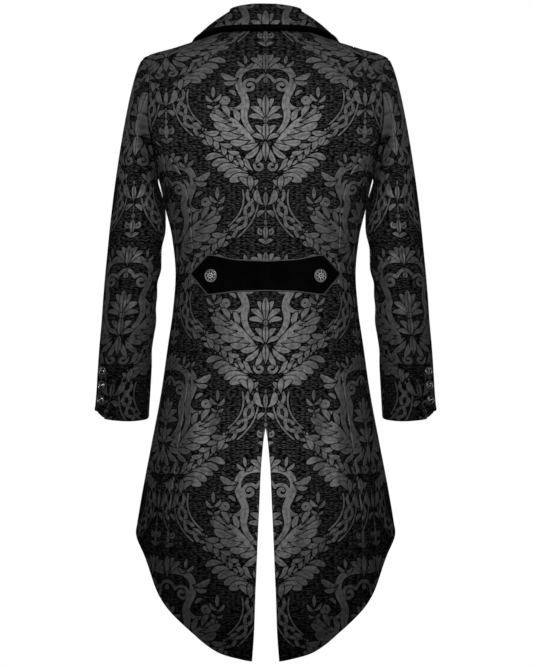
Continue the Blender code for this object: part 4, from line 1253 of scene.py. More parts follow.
def shell(name, outer, out, materials, mirrored, places=None, thick=CLOTH):
    """A cloth wall: a fine outer grid, a sparser inner one behind it and a rim between them.

    Places are the points' places on the cut cloth, and the brocade's figure follows them.
    """
    rows, columns = outer.shape[:2]
    inner = (outer - thick * out)[::INNER_STEP, ::INNER_STEP]
    inner_rows, inner_columns = inner.shape[:2]
    count = rows * columns
    points = np.concatenate((outer.reshape(-1, 3), inner.reshape(-1, 3))) * MM
    if mirrored:
        points = points * (-1, 1, 1)
    front = grid_faces(rows, columns)
    back = grid_faces(inner_rows, inner_columns)[:, ::-1]
    edge = rim_line(rows, columns).reshape(-1, INNER_STEP)
    last = np.roll(edge[:, 0], -1)
    edge = np.concatenate((edge, last[:, None]), axis=1)
    inside = rim_line(inner_rows, inner_columns) + count
    follows = np.roll(inside, -1)
    rim, rim_outer = [], []
    for k in range(INNER_STEP):
        corner, at = (inside, edge[:, 0]) if k < INNER_STEP // 2 else (follows, edge[:, -1])
        rim.append(np.stack((edge[:, k + 1], edge[:, k], corner), axis=1))
        rim_outer.append(np.stack((edge[:, k + 1], edge[:, k], at), axis=1))
    middle = edge[:, INNER_STEP // 2]
    rim.append(np.stack((middle, inside, follows), axis=1))
    rim_outer.append(np.stack((middle, edge[:, 0], edge[:, -1]), axis=1))
    rim, rim_outer = np.concatenate(rim), np.concatenate(rim_outer)
    if mirrored:
        front, back, rim, rim_outer = (faces[:, ::-1] for faces in (front, back, rim, rim_outer))
    mesh = bpy.data.meshes.new(name)
    mesh.from_pydata(points, [], front.tolist() + (back + count).tolist() + rim.tolist())
    for material in materials:
        mesh.materials.append(material)
    kinds = np.repeat((0, 1, 0), (len(front), len(back), len(rim)))
    mesh.polygons.foreach_set("material_index", kinds.astype(np.int32))
    mesh.polygons.foreach_set("use_smooth", np.ones(len(kinds), bool))
    if places is None:
        places = edge_ways(outer)[0], edge_ways(outer)[2]
    flat = np.stack(places, axis=-1)
    flat = np.concatenate((flat.reshape(-1, 2), flat[::INNER_STEP, ::INNER_STEP].reshape(-1, 2))) * MM
    corners = np.concatenate((front.ravel(), (back + count).ravel(), rim.ravel()))
    mesh.uv_layers.new(name="Cloth").data.foreach_set("uv", flat[corners].ravel())
    baked = [bake_places(rows, columns, front), back_places(inner_rows, inner_columns, back)]
    baked.append(bake_places(rows, columns, rim_outer))
    baked = np.concatenate([part.reshape(-1, 2) for part in baked])
    mesh.uv_layers.new(name="OFBake").data.foreach_set("uv", baked.ravel())
    fields = figure_at(*places)
    for label, field, plain in zip(("figure", "rib", "run"), fields, (GROUND, 0.0, 0.0)):
        values = np.concatenate((field.ravel(), np.full(inner_rows * inner_columns, plain)))
        mesh.attributes.new(label, "FLOAT", "POINT").data.foreach_set("value", values)
    mesh.update()
    item = bpy.data.objects.new(name, mesh)
    bpy.context.scene.collection.objects.link(item)
    return item


# Materials


def node(tree, kind, *values, out=0, **settings):
    """Adds a shader node, sets it, joins its inputs in order and returns one of its outputs."""
    made = tree.nodes.new(kind)
    for key, value in settings.items():
        setattr(made, key, value)
    for socket, value in zip(made.inputs, values):
        if isinstance(value, bpy.types.NodeSocket):
            tree.links.new(value, socket)
        elif value is not None:
            socket.default_value = value
    return made if out is None else made.outputs[out]


def sums(tree, operation, *values):
    return node(tree, "ShaderNodeMath", *values, operation=operation)


def noise(tree, place, scale, detail, rough, dimensions="3D"):
    """A soft random value at a place."""
    return node(tree, "ShaderNodeTexNoise", place, None, scale, detail, rough, noise_dimensions=dimensions)


def smooth_step(tree, value, low, high):
    """A soft mask that goes from 0 to 1 between two values."""
    return node(
        tree, "ShaderNodeMapRange", value, low, high, 0.0, 1.0, interpolation_type="SMOOTHSTEP", clamp=True
    )


def blend(tree, share, first, second):
    """Mixes two colours by a share."""
    made = tree.nodes.new("ShaderNodeMix")
    made.data_type = "RGBA"
    for socket, value in ((made.inputs[0], share), (made.inputs[6], first), (made.inputs[7], second)):
        if isinstance(value, bpy.types.NodeSocket):
            tree.links.new(value, socket)
        else:
            socket.default_value = value
    return made.outputs[2]


def shader_group(name, inputs, outputs):
    """A node group with named inputs and outputs, and its input and output nodes."""
    tree = bpy.data.node_groups.new(name, "ShaderNodeTree")
    for label, kind, value in inputs:
        socket = tree.interface.new_socket(label, in_out="INPUT", socket_type=kind)
        if value is not None:
            socket.default_value = value
    for label, kind in outputs:
        tree.interface.new_socket(label, in_out="OUTPUT", socket_type=kind)
    return tree, tree.nodes.new("NodeGroupInput").outputs, tree.nodes.new("NodeGroupOutput").inputs


FLOAT, COLOUR, VECTOR = "NodeSocketFloat", "NodeSocketColor", "NodeSocketVector"


def figured_weave():
    """Brocade: a crinkled dark ground with smooth, finely ribbed motifs floating over it. The light on the
    crinkles' raised tops is painted into the ground as pale dashes.
    """
    tree, given, made = shader_group(
        "Figured weave",
        (
            ("Figure", FLOAT, 0.0),
            ("Rib", FLOAT, 0.0),
            ("Run", FLOAT, 0.0),
            ("Cloth place", VECTOR, None),
            ("Ground", COLOUR, (*GROUND_COLOUR, 1)),
            ("Crinkle", COLOUR, (*CRINKLE_PAINTED_HIGHLIGHT, 1)),
            ("Figure colour", COLOUR, (*FIGURE_COLOUR, 1)),
            ("Crinkle length", FLOAT, CRINKLE_LENGTH * MM),
            ("Crinkle width", FLOAT, CRINKLE_WIDTH * MM),
            ("Rib pitch", FLOAT, RIB_PITCH * MM),
        ),
        (("Colour", COLOUR), ("Roughness", FLOAT), ("Height", FLOAT), ("Metallic", FLOAT)),
    )
    place = node(tree, "ShaderNodeSeparateXYZ", given["Cloth place"]).node.outputs
    across = sums(tree, "DIVIDE", place["X"], given["Crinkle length"])
    down = sums(tree, "DIVIDE", place["Y"], given["Crinkle width"])
    scaled = node(tree, "ShaderNodeCombineXYZ", across, down, 0.0)
    sway = noise(tree, scaled, 0.35, 1.0, 0.5, "2D")
    wavy = node(tree, "ShaderNodeCombineXYZ", across, sums(tree, "MULTIPLY_ADD", sway, 1.6, down), 0.0)
    cells = tree.nodes.new("ShaderNodeTexVoronoi")
    cells.voronoi_dimensions = "2D"
    cells.feature = "F1"
    cells.inputs["Scale"].default_value = 1.0
    cells.inputs["Randomness"].default_value = 0.85
    tree.links.new(wavy, cells.inputs["Vector"])
    crinkle = smooth_step(tree, cells.outputs["Distance"], 0.62, 0.12)
    tone = node(tree, "ShaderNodeSeparateColor", cells.outputs["Color"])
    crinkle_tone = sums(tree, "MULTIPLY_ADD", tone, 0.75, 0.25)
    # Crinkle dashes: raised in the bump, and painted paler as the highlight on their tops
    crinkle_and_painted_highlight = sums(tree, "MULTIPLY", crinkle, crinkle_tone)
    mask = smooth_step(tree, given["Figure"], -0.25, 0.45)
    outline = sums(tree, "SUBTRACT", 1.0, smooth_step(tree, given["Figure"], -1.9, -0.7))
    crinkle_and_painted_highlight = sums(tree, "MULTIPLY", crinkle_and_painted_highlight, outline)
    # The ground's colour, with the painted highlight on its crinkles
    ground = blend(tree, crinkle_and_painted_highlight, given["Ground"], given["Crinkle"])
    vein = sums(tree, "ABSOLUTE", given["Rib"])
    vein = smooth_step(tree, vein, 0.02, 0.2)
    deep = smooth_step(tree, given["Figure"], 1.2, 2.2)
    vein = sums(tree, "SUBTRACT", 1.0, sums(tree, "MULTIPLY", sums(tree, "SUBTRACT", 1.0, vein), deep))
    lean = sums(tree, "MULTIPLY_ADD", sums(tree, "ABSOLUTE", given["Rib"]), -0.22, given["Run"])
    side_rib = sums(tree, "SINE", sums(tree, "MULTIPLY", lean, 62.0))
    side_rib = sums(tree, "MULTIPLY_ADD", side_rib, 0.5, 0.5)
    turned = sums(tree, "MULTIPLY", place["Y"], 6.28)
    thread = sums(tree, "SINE", sums(tree, "DIVIDE", turned, given["Rib pitch"]))
    thread = sums(tree, "MULTIPLY_ADD", thread, 0.5, 0.5)
    edge = smooth_step(tree, given["Figure"], -0.1, 1.5)
    shade = sums(tree, "MULTIPLY_ADD", side_rib, 0.16, 0.78)
    shade = sums(tree, "MULTIPLY_ADD", thread, 0.12, shade)
    shade = sums(tree, "MULTIPLY", shade, sums(tree, "MULTIPLY_ADD", vein, 0.3, 0.7))
    shade = sums(tree, "MULTIPLY", shade, sums(tree, "MULTIPLY_ADD", edge, 0.3, 0.7))
    mottle = noise(tree, given["Cloth place"], 120.0, 2.0, 0.6, "2D")
    mottle = smooth_step(tree, mottle, 0.36, 0.6)
    shade = sums(tree, "MULTIPLY", shade, sums(tree, "MULTIPLY_ADD", mottle, 0.36, 0.64))
    wear = noise(tree, given["Cloth place"], 22.0, 3.0, 0.55, "2D")
    shade = sums(tree, "MULTIPLY", shade, sums(tree, "MULTIPLY_ADD", wear, 0.36, 0.82))
    black = (0.0, 0.0, 0.0, 1.0)
    motif = blend(tree, shade, black, given["Figure colour"])
    tree.links.new(blend(tree, mask, ground, motif), made["Colour"])
    rough = sums(tree, "MULTIPLY_ADD", crinkle_and_painted_highlight, -0.15, 0.8)
    tree.links.new(sums(tree, "MULTIPLY_ADD", mask, -0.24, rough), made["Roughness"])
    ground_height = sums(tree, "MULTIPLY_ADD", crinkle_and_painted_highlight, 0.55, -0.1)
    motif_height = sums(tree, "MULTIPLY_ADD", side_rib, 0.1, 0.34)
    motif_height = sums(tree, "MULTIPLY", motif_height, vein)
    motif_height = sums(tree, "MULTIPLY_ADD", thread, 0.06, motif_height)
    height = tree.nodes.new("ShaderNodeMix")
    parts = ((height.inputs[0], mask), (height.inputs[2], ground_height), (height.inputs[3], motif_height))
    for socket, value in parts:
        tree.links.new(value, socket)
    tree.links.new(height.outputs[0], made["Height"])
    tree.links.new(sums(tree, "MULTIPLY", mask, 0.5), made["Metallic"])
    return tree


def nap_group():
    """Velvet: a short nap that lies in soft patches, with single hairs. Where the patches and hairs catch the
    light, a painted sheen lightens the colour.
    """
    tree, given, made = shader_group(
        "Velvet nap",
        (
            ("Place", VECTOR, None),
            ("Deep", COLOUR, (*VELVET_DEEP, 1)),
            ("Painted sheen", COLOUR, (*VELVET_PAINTED_SHEEN, 1)),
            ("Hair scale", FLOAT, 900.0),
        ),
        (("Colour", COLOUR), ("Roughness", FLOAT), ("Height", FLOAT)),
    )
    patches = noise(tree, given["Place"], 38.0, 4.0, 0.6)
    hairs = noise(tree, given["Place"], given["Hair scale"], 2.0, 0.6)
    mixed = sums(tree, "MULTIPLY", smooth_step(tree, patches, 0.35, 0.7), hairs)
    # Painted sheen: patches and single hairs made lighter in the colour itself
    tree.links.new(blend(tree, mixed, given["Deep"], given["Painted sheen"]), made["Colour"])
    tree.links.new(sums(tree, "MULTIPLY_ADD", hairs, 0.2, 0.75), made["Roughness"])
    tree.links.new(sums(tree, "MULTIPLY_ADD", patches, 0.5, hairs), made["Height"])
    return tree


def plain_material(name, build):
    """A material whose shader is fed by a function."""
    material = bpy.data.materials.new(name)
    material.use_nodes = True
    tree = material.node_tree
    shader = tree.nodes["Principled BSDF"]
    build(tree, shader)
    return material


def group_node(tree, group, **links):
    made = tree.nodes.new("ShaderNodeGroup")
    made.node_tree = group
    for label, value in links.items():
        socket = made.inputs[label.replace("_", " ")]
        if isinstance(value, bpy.types.NodeSocket):
            tree.links.new(value, socket)
        else:
            socket.default_value = value
    return made.outputs


def attribute(tree, name):
    made = tree.nodes.new("ShaderNodeAttribute")
    made.attribute_name = name
    return made.outputs["Fac"]


def uv_place(tree):
    made = tree.nodes.new("ShaderNodeUVMap")
    made.uv_map = "Cloth"
    return made.outputs["UV"]


def bump(tree, shader, height, distance, strength):
    made = tree.nodes.new("ShaderNodeBump")
    made.inputs["Strength"].default_value = strength
    made.inputs["Distance"].default_value = distance
    tree.links.new(height, made.inputs["Height"])
    tree.links.new(made.outputs["Normal"], shader.inputs["Normal"])


def brocade_face(tree, shader):
    group = group_node(
        tree,
        WEAVE,
        Figure=attribute(tree, "figure"),
        Rib=attribute(tree, "rib"),
        Run=attribute(tree, "run"),
        Cloth_place=uv_place(tree),
    )
    tree.links.new(group["Colour"], shader.inputs["Base Color"])
    tree.links.new(group["Roughness"], shader.inputs["Roughness"])
    tree.links.new(group["Metallic"], shader.inputs["Metallic"])
    shader.inputs["Specular IOR Level"].default_value = 0.01
    bump(tree, shader, group["Height"], 0.0008, 0.8)


def brocade_reverse(tree, shader):
    place = node(tree, "ShaderNodeSeparateXYZ", uv_place(tree)).node.outputs
    twill = sums(tree, "SINE", sums(tree, "MULTIPLY", sums(tree, "ADD", place["X"], place["Y"]), 5200.0))
    cloud = noise(tree, uv_place(tree), 60.0, 3.0, 0.6, "2D")
    shade = sums(tree, "MULTIPLY_ADD", twill, 0.18, cloud)
    tree.links.new(blend(tree, shade, (*REVERSE_DEEP, 1), (*REVERSE_LIT, 1)), shader.inputs["Base Color"])
    tree.links.new(sums(tree, "MULTIPLY_ADD", cloud, 0.2, 0.6), shader.inputs["Roughness"])
    shader.inputs["Specular IOR Level"].default_value = 0.3
    bump(tree, shader, twill, 0.0002, 0.4)


def velvet_face(tree, shader):
    place = node(tree, "ShaderNodeTexCoord", out=3)
    group = group_node(tree, NAP, Place=place)
    tree.links.new(group["Colour"], shader.inputs["Base Color"])
    tree.links.new(group["Roughness"], shader.inputs["Roughness"])
    shader.inputs["Specular IOR Level"].default_value = 0.02
    shader.inputs["Sheen Weight"].default_value = 0.02
    shader.inputs["Sheen Roughness"].default_value = 0.35
    shader.inputs["Sheen Tint"].default_value = (0.7, 0.72, 0.78, 1)
    bump(tree, shader, group["Height"], 0.0006, 0.7)


def silver_face(tree, shader):
    """Old silver: bright where it is raised and rubbed, dark in its hollows with tarnish and painted shade.
    """
    relief = attribute(tree, "relief")
    place = node(tree, "ShaderNodeTexCoord", out=3)
    cloud = noise(tree, place, 420.0, 4.0, 0.6)
    # Colour follows the relief: hollows painted dark, as tarnish with painted shade
    bright_share = smooth_step(tree, sums(tree, "MULTIPLY_ADD", cloud, 0.25, relief), 0.42, 0.8)
    tree.links.new(blend(tree, bright_share, (*SILVER_TARNISH_AND_SHADE, 1), (*SILVER_WORN, 1)), shader.inputs["Base Color"])
    tree.links.new(sums(tree, "MULTIPLY_ADD", bright_share, -0.25, 0.6), shader.inputs["Roughness"])
    tree.links.new(sums(tree, "MULTIPLY_ADD", bright_share, 0.5, 0.5), shader.inputs["Metallic"])
    bump(tree, shader, cloud, 0.0002, 0.5)


def cord_face(tree, shader):
    """Twisted grey cord round the half belt, its colour painted dark as shade in the grooves between the
    strands.
    """
    twist = attribute(tree, "twist")
    place = node(tree, "ShaderNodeTexCoord", out=3)
    cloud = noise(tree, place, 300.0, 3.0, 0.6)
    # Painted shade: the colour darkens where a strand sinks into a groove
    shade = sums(tree, "MULTIPLY", twist, sums(tree, "MULTIPLY_ADD", cloud, 0.5, 0.75))
    tree.links.new(blend(tree, shade, (*CORD_PAINTED_GROOVE_SHADE, 1), (*CORD_LIT, 1)), shader.inputs["Base Color"])
    tree.links.new(sums(tree, "MULTIPLY_ADD", cloud, 0.2, 0.45), shader.inputs["Roughness"])
    shader.inputs["Specular IOR Level"].default_value = 0.4
    bump(tree, shader, cloud, 0.0002, 0.5)


WEAVE = figured_weave()
NAP = nap_group()
BROCADE = plain_material("Brocade", brocade_face)
REVERSE = plain_material("Brocade reverse", brocade_reverse)
VELVET = plain_material("Velvet", velvet_face)
SILVER = plain_material("Old silver", silver_face)
CORD = plain_material("Grey cord", cord_face)
BROCADE_CLOTH = (BROCADE, REVERSE)
VELVET_CLOTH = (VELVET, VELVET)


# The pieces


def settle(item, node_name, slot, sheet=None):
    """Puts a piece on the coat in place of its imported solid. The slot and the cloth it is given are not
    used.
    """
    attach(item, "root")
    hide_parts(node_name)


def brocade_panel(name, mirrored, outer, out, places, kinds):
    """One panel of brocade with its creases and edges."""
    seen = outer * (-1, 1, 1) if mirrored else outer
    seen_out = out * (-1, 1, 1) if mirrored else out
    moved = crease_depth(seen, seen_out) + edge_depth(outer, kinds)
    return shell(name, outer + out * moved[..., None], out, BROCADE_CLOTH, mirrored, places)


def body_guide(outer, front):
    """The way up the body's cloth, which leans over the shoulder near the neck."""
    lean = 1.5 * ease((outer[..., 2] + 120) / 80) * (1 if front else -1)
    return np.stack((0 * lean, lean, 1 + 0 * lean), axis=-1)


def build_body():
    """Backs, side backs and fronts."""
    across = 0.0
    down = 0.0
    for stem, rows_from, columns, spacing, near, far, top_of, low_level, kinds in (
        ("back", NECK_HEIGHT, BACK_COLUMNS, BACK_FINE, back_middle, back_edge,
         lambda share: np.full(len(share), NECK_HEIGHT), SHOULDER_END, ("seam", "seam", "seam", "free")),
        ("side_back", SIDE_BACK_TOP, SIDE_COLUMNS, SIDE_FINE, side_back_near, side_back_far,
         side_back_top, WAIST, ("seam", "seam", "seam", "free")),
        ("front", NECK_HEIGHT, FRONT_COLUMNS, FRONT_FINE, front_side_edge, front_roll_edge,
         gorge, SHOULDER_END, ("seam", "free", "seam", "free")),
    ):
        def trial(rows):
            return body(*fit_panel(rows, FEW, near, far, top_of(FEW), low_level))

        shares = np.linspace(0, 1, columns)
        rows = fine_rows(rows_from, HEM_END, trial, spacing)
        turns, heights = fit_panel(rows, shares, near, far, top_of(shares), low_level)
        plain = body(turns, heights)
        out = body_facing(turns, heights)
        row = int(np.argmin(np.abs(heights[:, 0] - WAIST)))
        straight = heights[:, 0] > VENT_TOP if stem == "back" else np.zeros(len(rows), bool)
        if stem == "back":
            row = int(np.argmin(np.abs(heights[:, 0] - BODY_CROSSING)))
        guide = body_guide(plain, stem == "front")
        places = cloth_places(plain, out, guide, 0, row, across, down, straight)
        last = int(np.argmin(np.abs(heights[:, -1] - WAIST)))
        across, down = places[0][last, -1], places[1][last, -1]
        for side, mirrored in (("left", False), ("right", True)):
            name = f"{stem}_{side}"
            lift = front_lap(turns) if stem == "front" and not mirrored else 0.0
            outer = body(turns, heights, lift)
            facing = body_facing(turns, heights, lift)
            item = brocade_panel(name + "_cloth", mirrored, outer, facing, places, kinds)
            settle(item, name, "brocade", SHEETS[stem])


def build_sleeves():
    """Top and under sleeves."""
    kinds = ("seam", "seam", "seam", "free")
    for stem, columns, cuff in (
        ("top_sleeve", TOP_SLEEVE_COLUMNS, CUFF_TOP_SLEEVE),
        ("under_sleeve", UNDER_SLEEVE_COLUMNS, CUFF_UNDER_SLEEVE),
    ):
        near, far = sleeve_edges(stem)
        cuff_line = smooth_line(cuff)
        share = np.linspace(0, 1, columns)

        def trial(rows):
            return sleeve(near(rows)[:, None] * (1 - FEW) + far(rows)[:, None] * FEW, rows[:, None] + 0 * FEW)

        rows = fine_rows(0, 2, trial, SLEEVE_FINE)
        last = np.ones(columns)
        for _ in range(12):
            turn = near(1 + last) * (1 - share) + far(1 + last) * share
            last = (BICEPS - cuff_line(turn)) / (BICEPS - CUFF_LEVEL)
        along = np.where(rows[:, None] > 1, 1 + (rows[:, None] - 1) * last, rows[:, None] * np.ones(columns))
        turn = near(along) * (1 - share) + far(along) * share
        outer = sleeve(turn, along)[:, ::-1]
        out = grid_facing(outer)
        column = 0 if stem == "top_sleeve" else columns - 1
        height = outer[:, column, 2]
        row = int(np.argmin(np.abs(height - SLEEVE_CROSSING)))
        guide = np.array((0.0, 0.0, 1.0))
        places = cloth_places(outer, out, guide, column, row, 0.0, 0.0, np.ones(len(rows), bool))
        for side, mirrored in (("left", False), ("right", True)):
            name = f"{stem}_{side}"
            item = brocade_panel(name + "_cloth", mirrored, outer, out, places, kinds)
            settle(item, name, "brocade", SHEETS[stem])


def finer(points, count):
    """Rows of points joined by a smooth curve and spread evenly along it."""
    whole = np.concatenate((2 * points[:1] - points[1:2], points, 2 * points[-1:] - points[-2:-1]))
    dense = []
    for k in range(1, len(whole) - 2):
        t = np.linspace(0, 1, 12, endpoint=False)[:, None, None]
        a, b, c, d = whole[k - 1 : k + 3]
        early = 2 * b + (c - a) * t + (2 * a - 5 * b + 4 * c - d) * t**2
        dense.append(0.5 * (early + (3 * b - a - 3 * c + d) * t**3))
    dense = np.concatenate(dense + [points[-1:]])
    step = np.linalg.norm(np.diff(dense, axis=0), axis=-1)
    total = np.concatenate((np.zeros((1, dense.shape[1])), np.cumsum(step, axis=0)))
    out = np.empty((count, dense.shape[1], 3))
    for column in range(dense.shape[1]):
        at = np.linspace(0, total[-1, column], count)
        for axis in range(3):
            out[:, column, axis] = np.interp(at, total[:, column], dense[:, column, axis])
    return out


def build_collar():
    """Collar of brocade and the velvet band along its edge."""
    turns = np.linspace(-COLLAR_END, COLLAR_END, COLLAR_COLUMNS_FINE)
    section, strip = collar_section(turns)
    cloth = finer(section, COLLAR_ROWS)
    band = finer(strip, BAND_ROWS)
    whole = np.concatenate((cloth, band[1:]))
    out = grid_facing(whole)
    cloth_out, band_out = out[:COLLAR_ROWS], out[COLLAR_ROWS - 1 :]
    near, _, top, _ = edge_ways(cloth)
    middle = (COLLAR_COLUMNS_FINE - 1) // 2
    across = near - near[:, middle : middle + 1]
    down = COLLAR_FIGURE + top
    moved = edge_depth(cloth, ("free", "free", "seam", "seam"))
    moved += 0.5 * np.sin(across / 23 + 0.8) * np.sin(np.pi * np.clip(top / 100, 0, 1)) * (top > 40)
    laid = cloth + cloth_out * moved[..., None]
    item = shell("collar_cloth", laid, cloth_out, BROCADE_CLOTH, False, (across, down))
    settle(item, "collar", "brocade", SHEETS["collar"])
    laid = band + band_out * band_crown(band, COLLAR_BAND_CROWN)[..., None]
    item = shell("collar_band_velvet", laid, band_out, VELVET_CLOTH, False)
    settle(item, "collar_band", "velvet", SHEETS["collar_band"])


def build_lapels():
    """Lapels folded back on the fronts, each with a velvet band along its edge."""
    for side, mirrored in (("left", False), ("right", True)):
        share = (np.linspace(0, 1, LAPEL_ROWS) ** 1.25)[:, None]
        roll_z = ROLL_TOP[0] - 1.0 + share * (LAPEL_END - ROLL_TOP[0])
        roll = roll_x(roll_z)
        if mirrored:
            roll = np.maximum(roll, LAPEL_UNDER - roll)
        edge_z = LAPEL_TIP[0] + share * (LAPEL_END - 6 - LAPEL_TIP[0])
        edge = LAPEL_LINE(edge_z)
        width = np.hypot(edge - roll, edge_z - roll_z)
        band = np.minimum(LAPEL_BAND_WIDTH / width, 0.5)
        gap = SEAM_GAP / width
        for stem, near, far, columns in (
            ("lapel", 0.01 + 0 * band, 1 - band - gap, LAPEL_COLUMNS),
            ("lapel_band", 1 - band, 1 + 0 * band, BAND_ROWS),
        ):
            across = near + (far - near) * np.linspace(0, 1, columns)[None, :]
            z = roll_z + (edge_z - roll_z) * across
            x = roll + (edge - roll) * across
            turns = turn_at(x, z, True)
            lift = LAPEL_LIFT + LAPEL_RISE * ease((z - LAPEL_RISE_FROM) / (LAPEL_RISE_FULL - LAPEL_RISE_FROM))
            lift = lift + (0.0 if mirrored else 1.0) * front_lap(turns)
            outer = body(turns, z, lift)[:, ::-1]
            out = body_facing(turns, z, lift)[:, ::-1]
            if stem == "lapel":
                away = edge_ways(outer)[1]
                moved = edge_depth(outer, ("seam", None, "free", "free")) - 2.4 * np.exp(-away / 4)
                slant = np.radians(LAPEL_GRAIN)
                places = (
                    outer[..., 0] * np.cos(slant) - outer[..., 2] * np.sin(slant),
                    -outer[..., 0] * np.sin(slant) - outer[..., 2] * np.cos(slant) + COLLAR_FIGURE,
                )
                laid = outer + out * moved[..., None]
                item = shell(f"lapel_{side}_cloth", laid, out, BROCADE_CLOTH, mirrored, places)
                settle(item, f"lapel_{side}", "brocade", SHEETS["lapel"])
            else:
                laid = outer + out * band_crown(outer, LAPEL_BAND_CROWN)[..., None]
                item = shell(f"lapel_band_{side}_velvet", laid, out, VELVET_CLOTH, mirrored)
                settle(item, f"lapel_band_{side}", "velvet", SHEETS["lapel_band"])


def belt_lines():
    """Half width, top edge and bottom edge of the half belt, from its right point to its left one."""
    top = smooth_line([(row[0], row[1]) for row in BELT_EDGES])
    low = smooth_line([(row[0], row[2]) for row in BELT_EDGES])
    inner = BELT_CORNER * np.linspace(-1, 1, 4 * BELT_INNER_STEPS + 1)
    tip = np.linspace(BELT_CORNER, BELT_TIP, 4 * BELT_TIP_STEPS + 1)[1:]
    x = np.concatenate((-tip[::-1], inner, tip))
    across = [row[0] for row in BELT_EDGES]
    high = np.interp(np.abs(x), across, [row[1] for row in BELT_EDGES])
    base = np.interp(np.abs(x), across, [row[2] for row in BELT_EDGES])
    within = np.abs(x) < BELT_CORNER
    return x, np.where(within, top(np.abs(x)), high), np.where(within, low(np.abs(x)), base)


def build_belt():
    """Half belt of velvet, with a twisted cord round it."""
    x, high, base = belt_lines()
    share = np.linspace(0, 1, BELT_ROWS)[:, None]
    z = high + (base - high) * share
    turns = turn_at(x + 0 * z, z)
    place = np.stack((x + 0 * z, z), axis=-1)
    rim = np.concatenate((np.stack((x, high), axis=-1), np.stack((x, base), axis=-1)))
    edge = np.full(z.shape, 99.0)
    for start in range(0, len(rim), 40):
        away = np.linalg.norm(place[:, :, None] - rim[start : start + 40], axis=-1).min(axis=-1)
        edge = np.minimum(edge, away)
    lift = BELT_GAP + BELT_THICK + BELT_SWELL - BELT_FALL * np.exp(-edge / BELT_FALL_REACH)
    for sign in (-1, 1):
        ring = np.hypot(place[..., 0] - sign * BELT_BUTTON_AT[0], z - BELT_BUTTON_AT[1]) - BELT_BUTTON[0]
        lift = lift - BUTTON_DENT * np.exp(-((ring / BUTTON_DENT_WIDTH) ** 2))
    lift = lift + BELT_WAVE * np.sin(x / 17 + 1.1) * np.sin(z / 9)
    out = body_facing(turns, z, BELT_GAP)
    outer = body(turns, z, BELT_GAP) + out * (lift - BELT_GAP)[..., None]
    item = shell("half_belt_velvet", outer, out, VELVET_CLOTH, False, thick=BELT_WALL)
    settle(item, "half_belt", "velvet", SHEETS["half_belt"])
    away = PIPING_RADIUS + PIPING_OFF
    path = np.concatenate((np.stack((x, high + away), axis=-1), np.stack((x, base - away), axis=-1)[::-1]))
    path[0, 0] -= away
    path[-1, 0] -= away
    path[len(x) - 1 : len(x) + 1, 0] += away
    build_cord(path)


def build_cord(path):
    """A cord laid along a closed path on the back."""
    loop = np.concatenate((path, path[:1]))
    total = np.concatenate(([0], np.cumsum(np.linalg.norm(np.diff(loop, axis=0), axis=-1))))
    count = int(total[-1] / CORD_STEP)
    at = np.arange(count) * total[-1] / count
    x, z = np.interp(at, total, loop[:, 0]), np.interp(at, total, loop[:, 1])
    turn = turn_at(x, z)
    middle = body(turn, z, PIPING_GAP + PIPING_RADIUS)
    out = body_facing(turn, z, PIPING_GAP + PIPING_RADIUS)
    along = unit(np.roll(middle, -1, axis=0) - np.roll(middle, 1, axis=0))
    side = unit(np.cross(along, out))
    angle = np.linspace(0, 2 * np.pi, CORD_SIDES, endpoint=False)
    strand = np.abs(np.sin(angle[None, :] + np.pi * round(total[-1] / CORD_TWIST) * at[:, None] / total[-1]))
    ray = PIPING_RADIUS * (0.82 + 0.3 * strand)
    sideways = side[:, None] * (ray * np.cos(angle))[..., None]
    points = middle[:, None] + sideways + out[:, None] * (ray * np.sin(angle))[..., None]
    a = np.arange(count)[:, None] * CORD_SIDES + np.arange(CORD_SIDES)
    b = np.arange(count)[:, None] * CORD_SIDES + np.roll(np.arange(CORD_SIDES), -1)
    c, d = np.roll(b, -1, axis=0), np.roll(a, -1, axis=0)
    faces = np.stack((a.ravel(), b.ravel(), c.ravel(), d.ravel()), axis=1)
    # The strands' crests also set the cord's colour, which paints shade in the grooves
    item = plain_mesh("belt_cord", points.reshape(-1, 3) * MM, faces.tolist(), CORD, twist=strand.ravel())
    settle(item, "belt_piping", "brocade")


def plain_mesh(name, points, faces, material, **fields):
    mesh = bpy.data.meshes.new(name)
    mesh.from_pydata(points, [], faces)
    mesh.materials.append(material)
    mesh.polygons.foreach_set("use_smooth", np.ones(len(faces), bool))
    for label, values in fields.items():
        mesh.attributes.new(label, "FLOAT", "POINT").data.foreach_set("value", values)
    mesh.update()
    item = bpy.data.objects.new(name, mesh)
    bpy.context.scene.collection.objects.link(item)
    return item


def swirl_relief(share, angle):
    """Relief of a small button: two broad leaves and two curls round a boss, inside a plain rim."""
    lean = angle + 1.9 * share
    leaf = np.maximum(0, np.cos(2 * lean)) ** 0.6 * np.exp(-(((share - 0.5) / 0.24) ** 2))
    ring = np.exp(-(((share - 0.66) / 0.12) ** 2))
    curl = np.maximum(0, np.cos(2 * (angle - 2.6 * share) + 1.2)) ** 1.2 * ring
    boss = np.exp(-((share / 0.17) ** 2))
    rim = np.exp(-(((share - 0.9) / 0.07) ** 2))
    return np.clip(np.maximum.reduce((0.9 * leaf, 0.8 * curl, boss, rim)), 0, 1)


def rosette_relief(share, angle):
    """Relief of a large button: eight rounded petals and scrolls round a boss, inside a rim of beads."""
    petal = np.abs(np.cos(4 * angle)) ** 0.7 * np.exp(-(((share - 0.36) / 0.14) ** 2))
    scroll = np.maximum(0, np.cos(8 * (angle + 1.1 * share))) * np.exp(-(((share - 0.62) / 0.09) ** 2))
    boss = np.exp(-((share / 0.13) ** 2))
    ring = np.exp(-(((share - 0.77) / 0.035) ** 2))
    return np.clip(np.maximum.reduce((petal, 0.85 * scroll, boss, 0.8 * ring)), 0, 1)


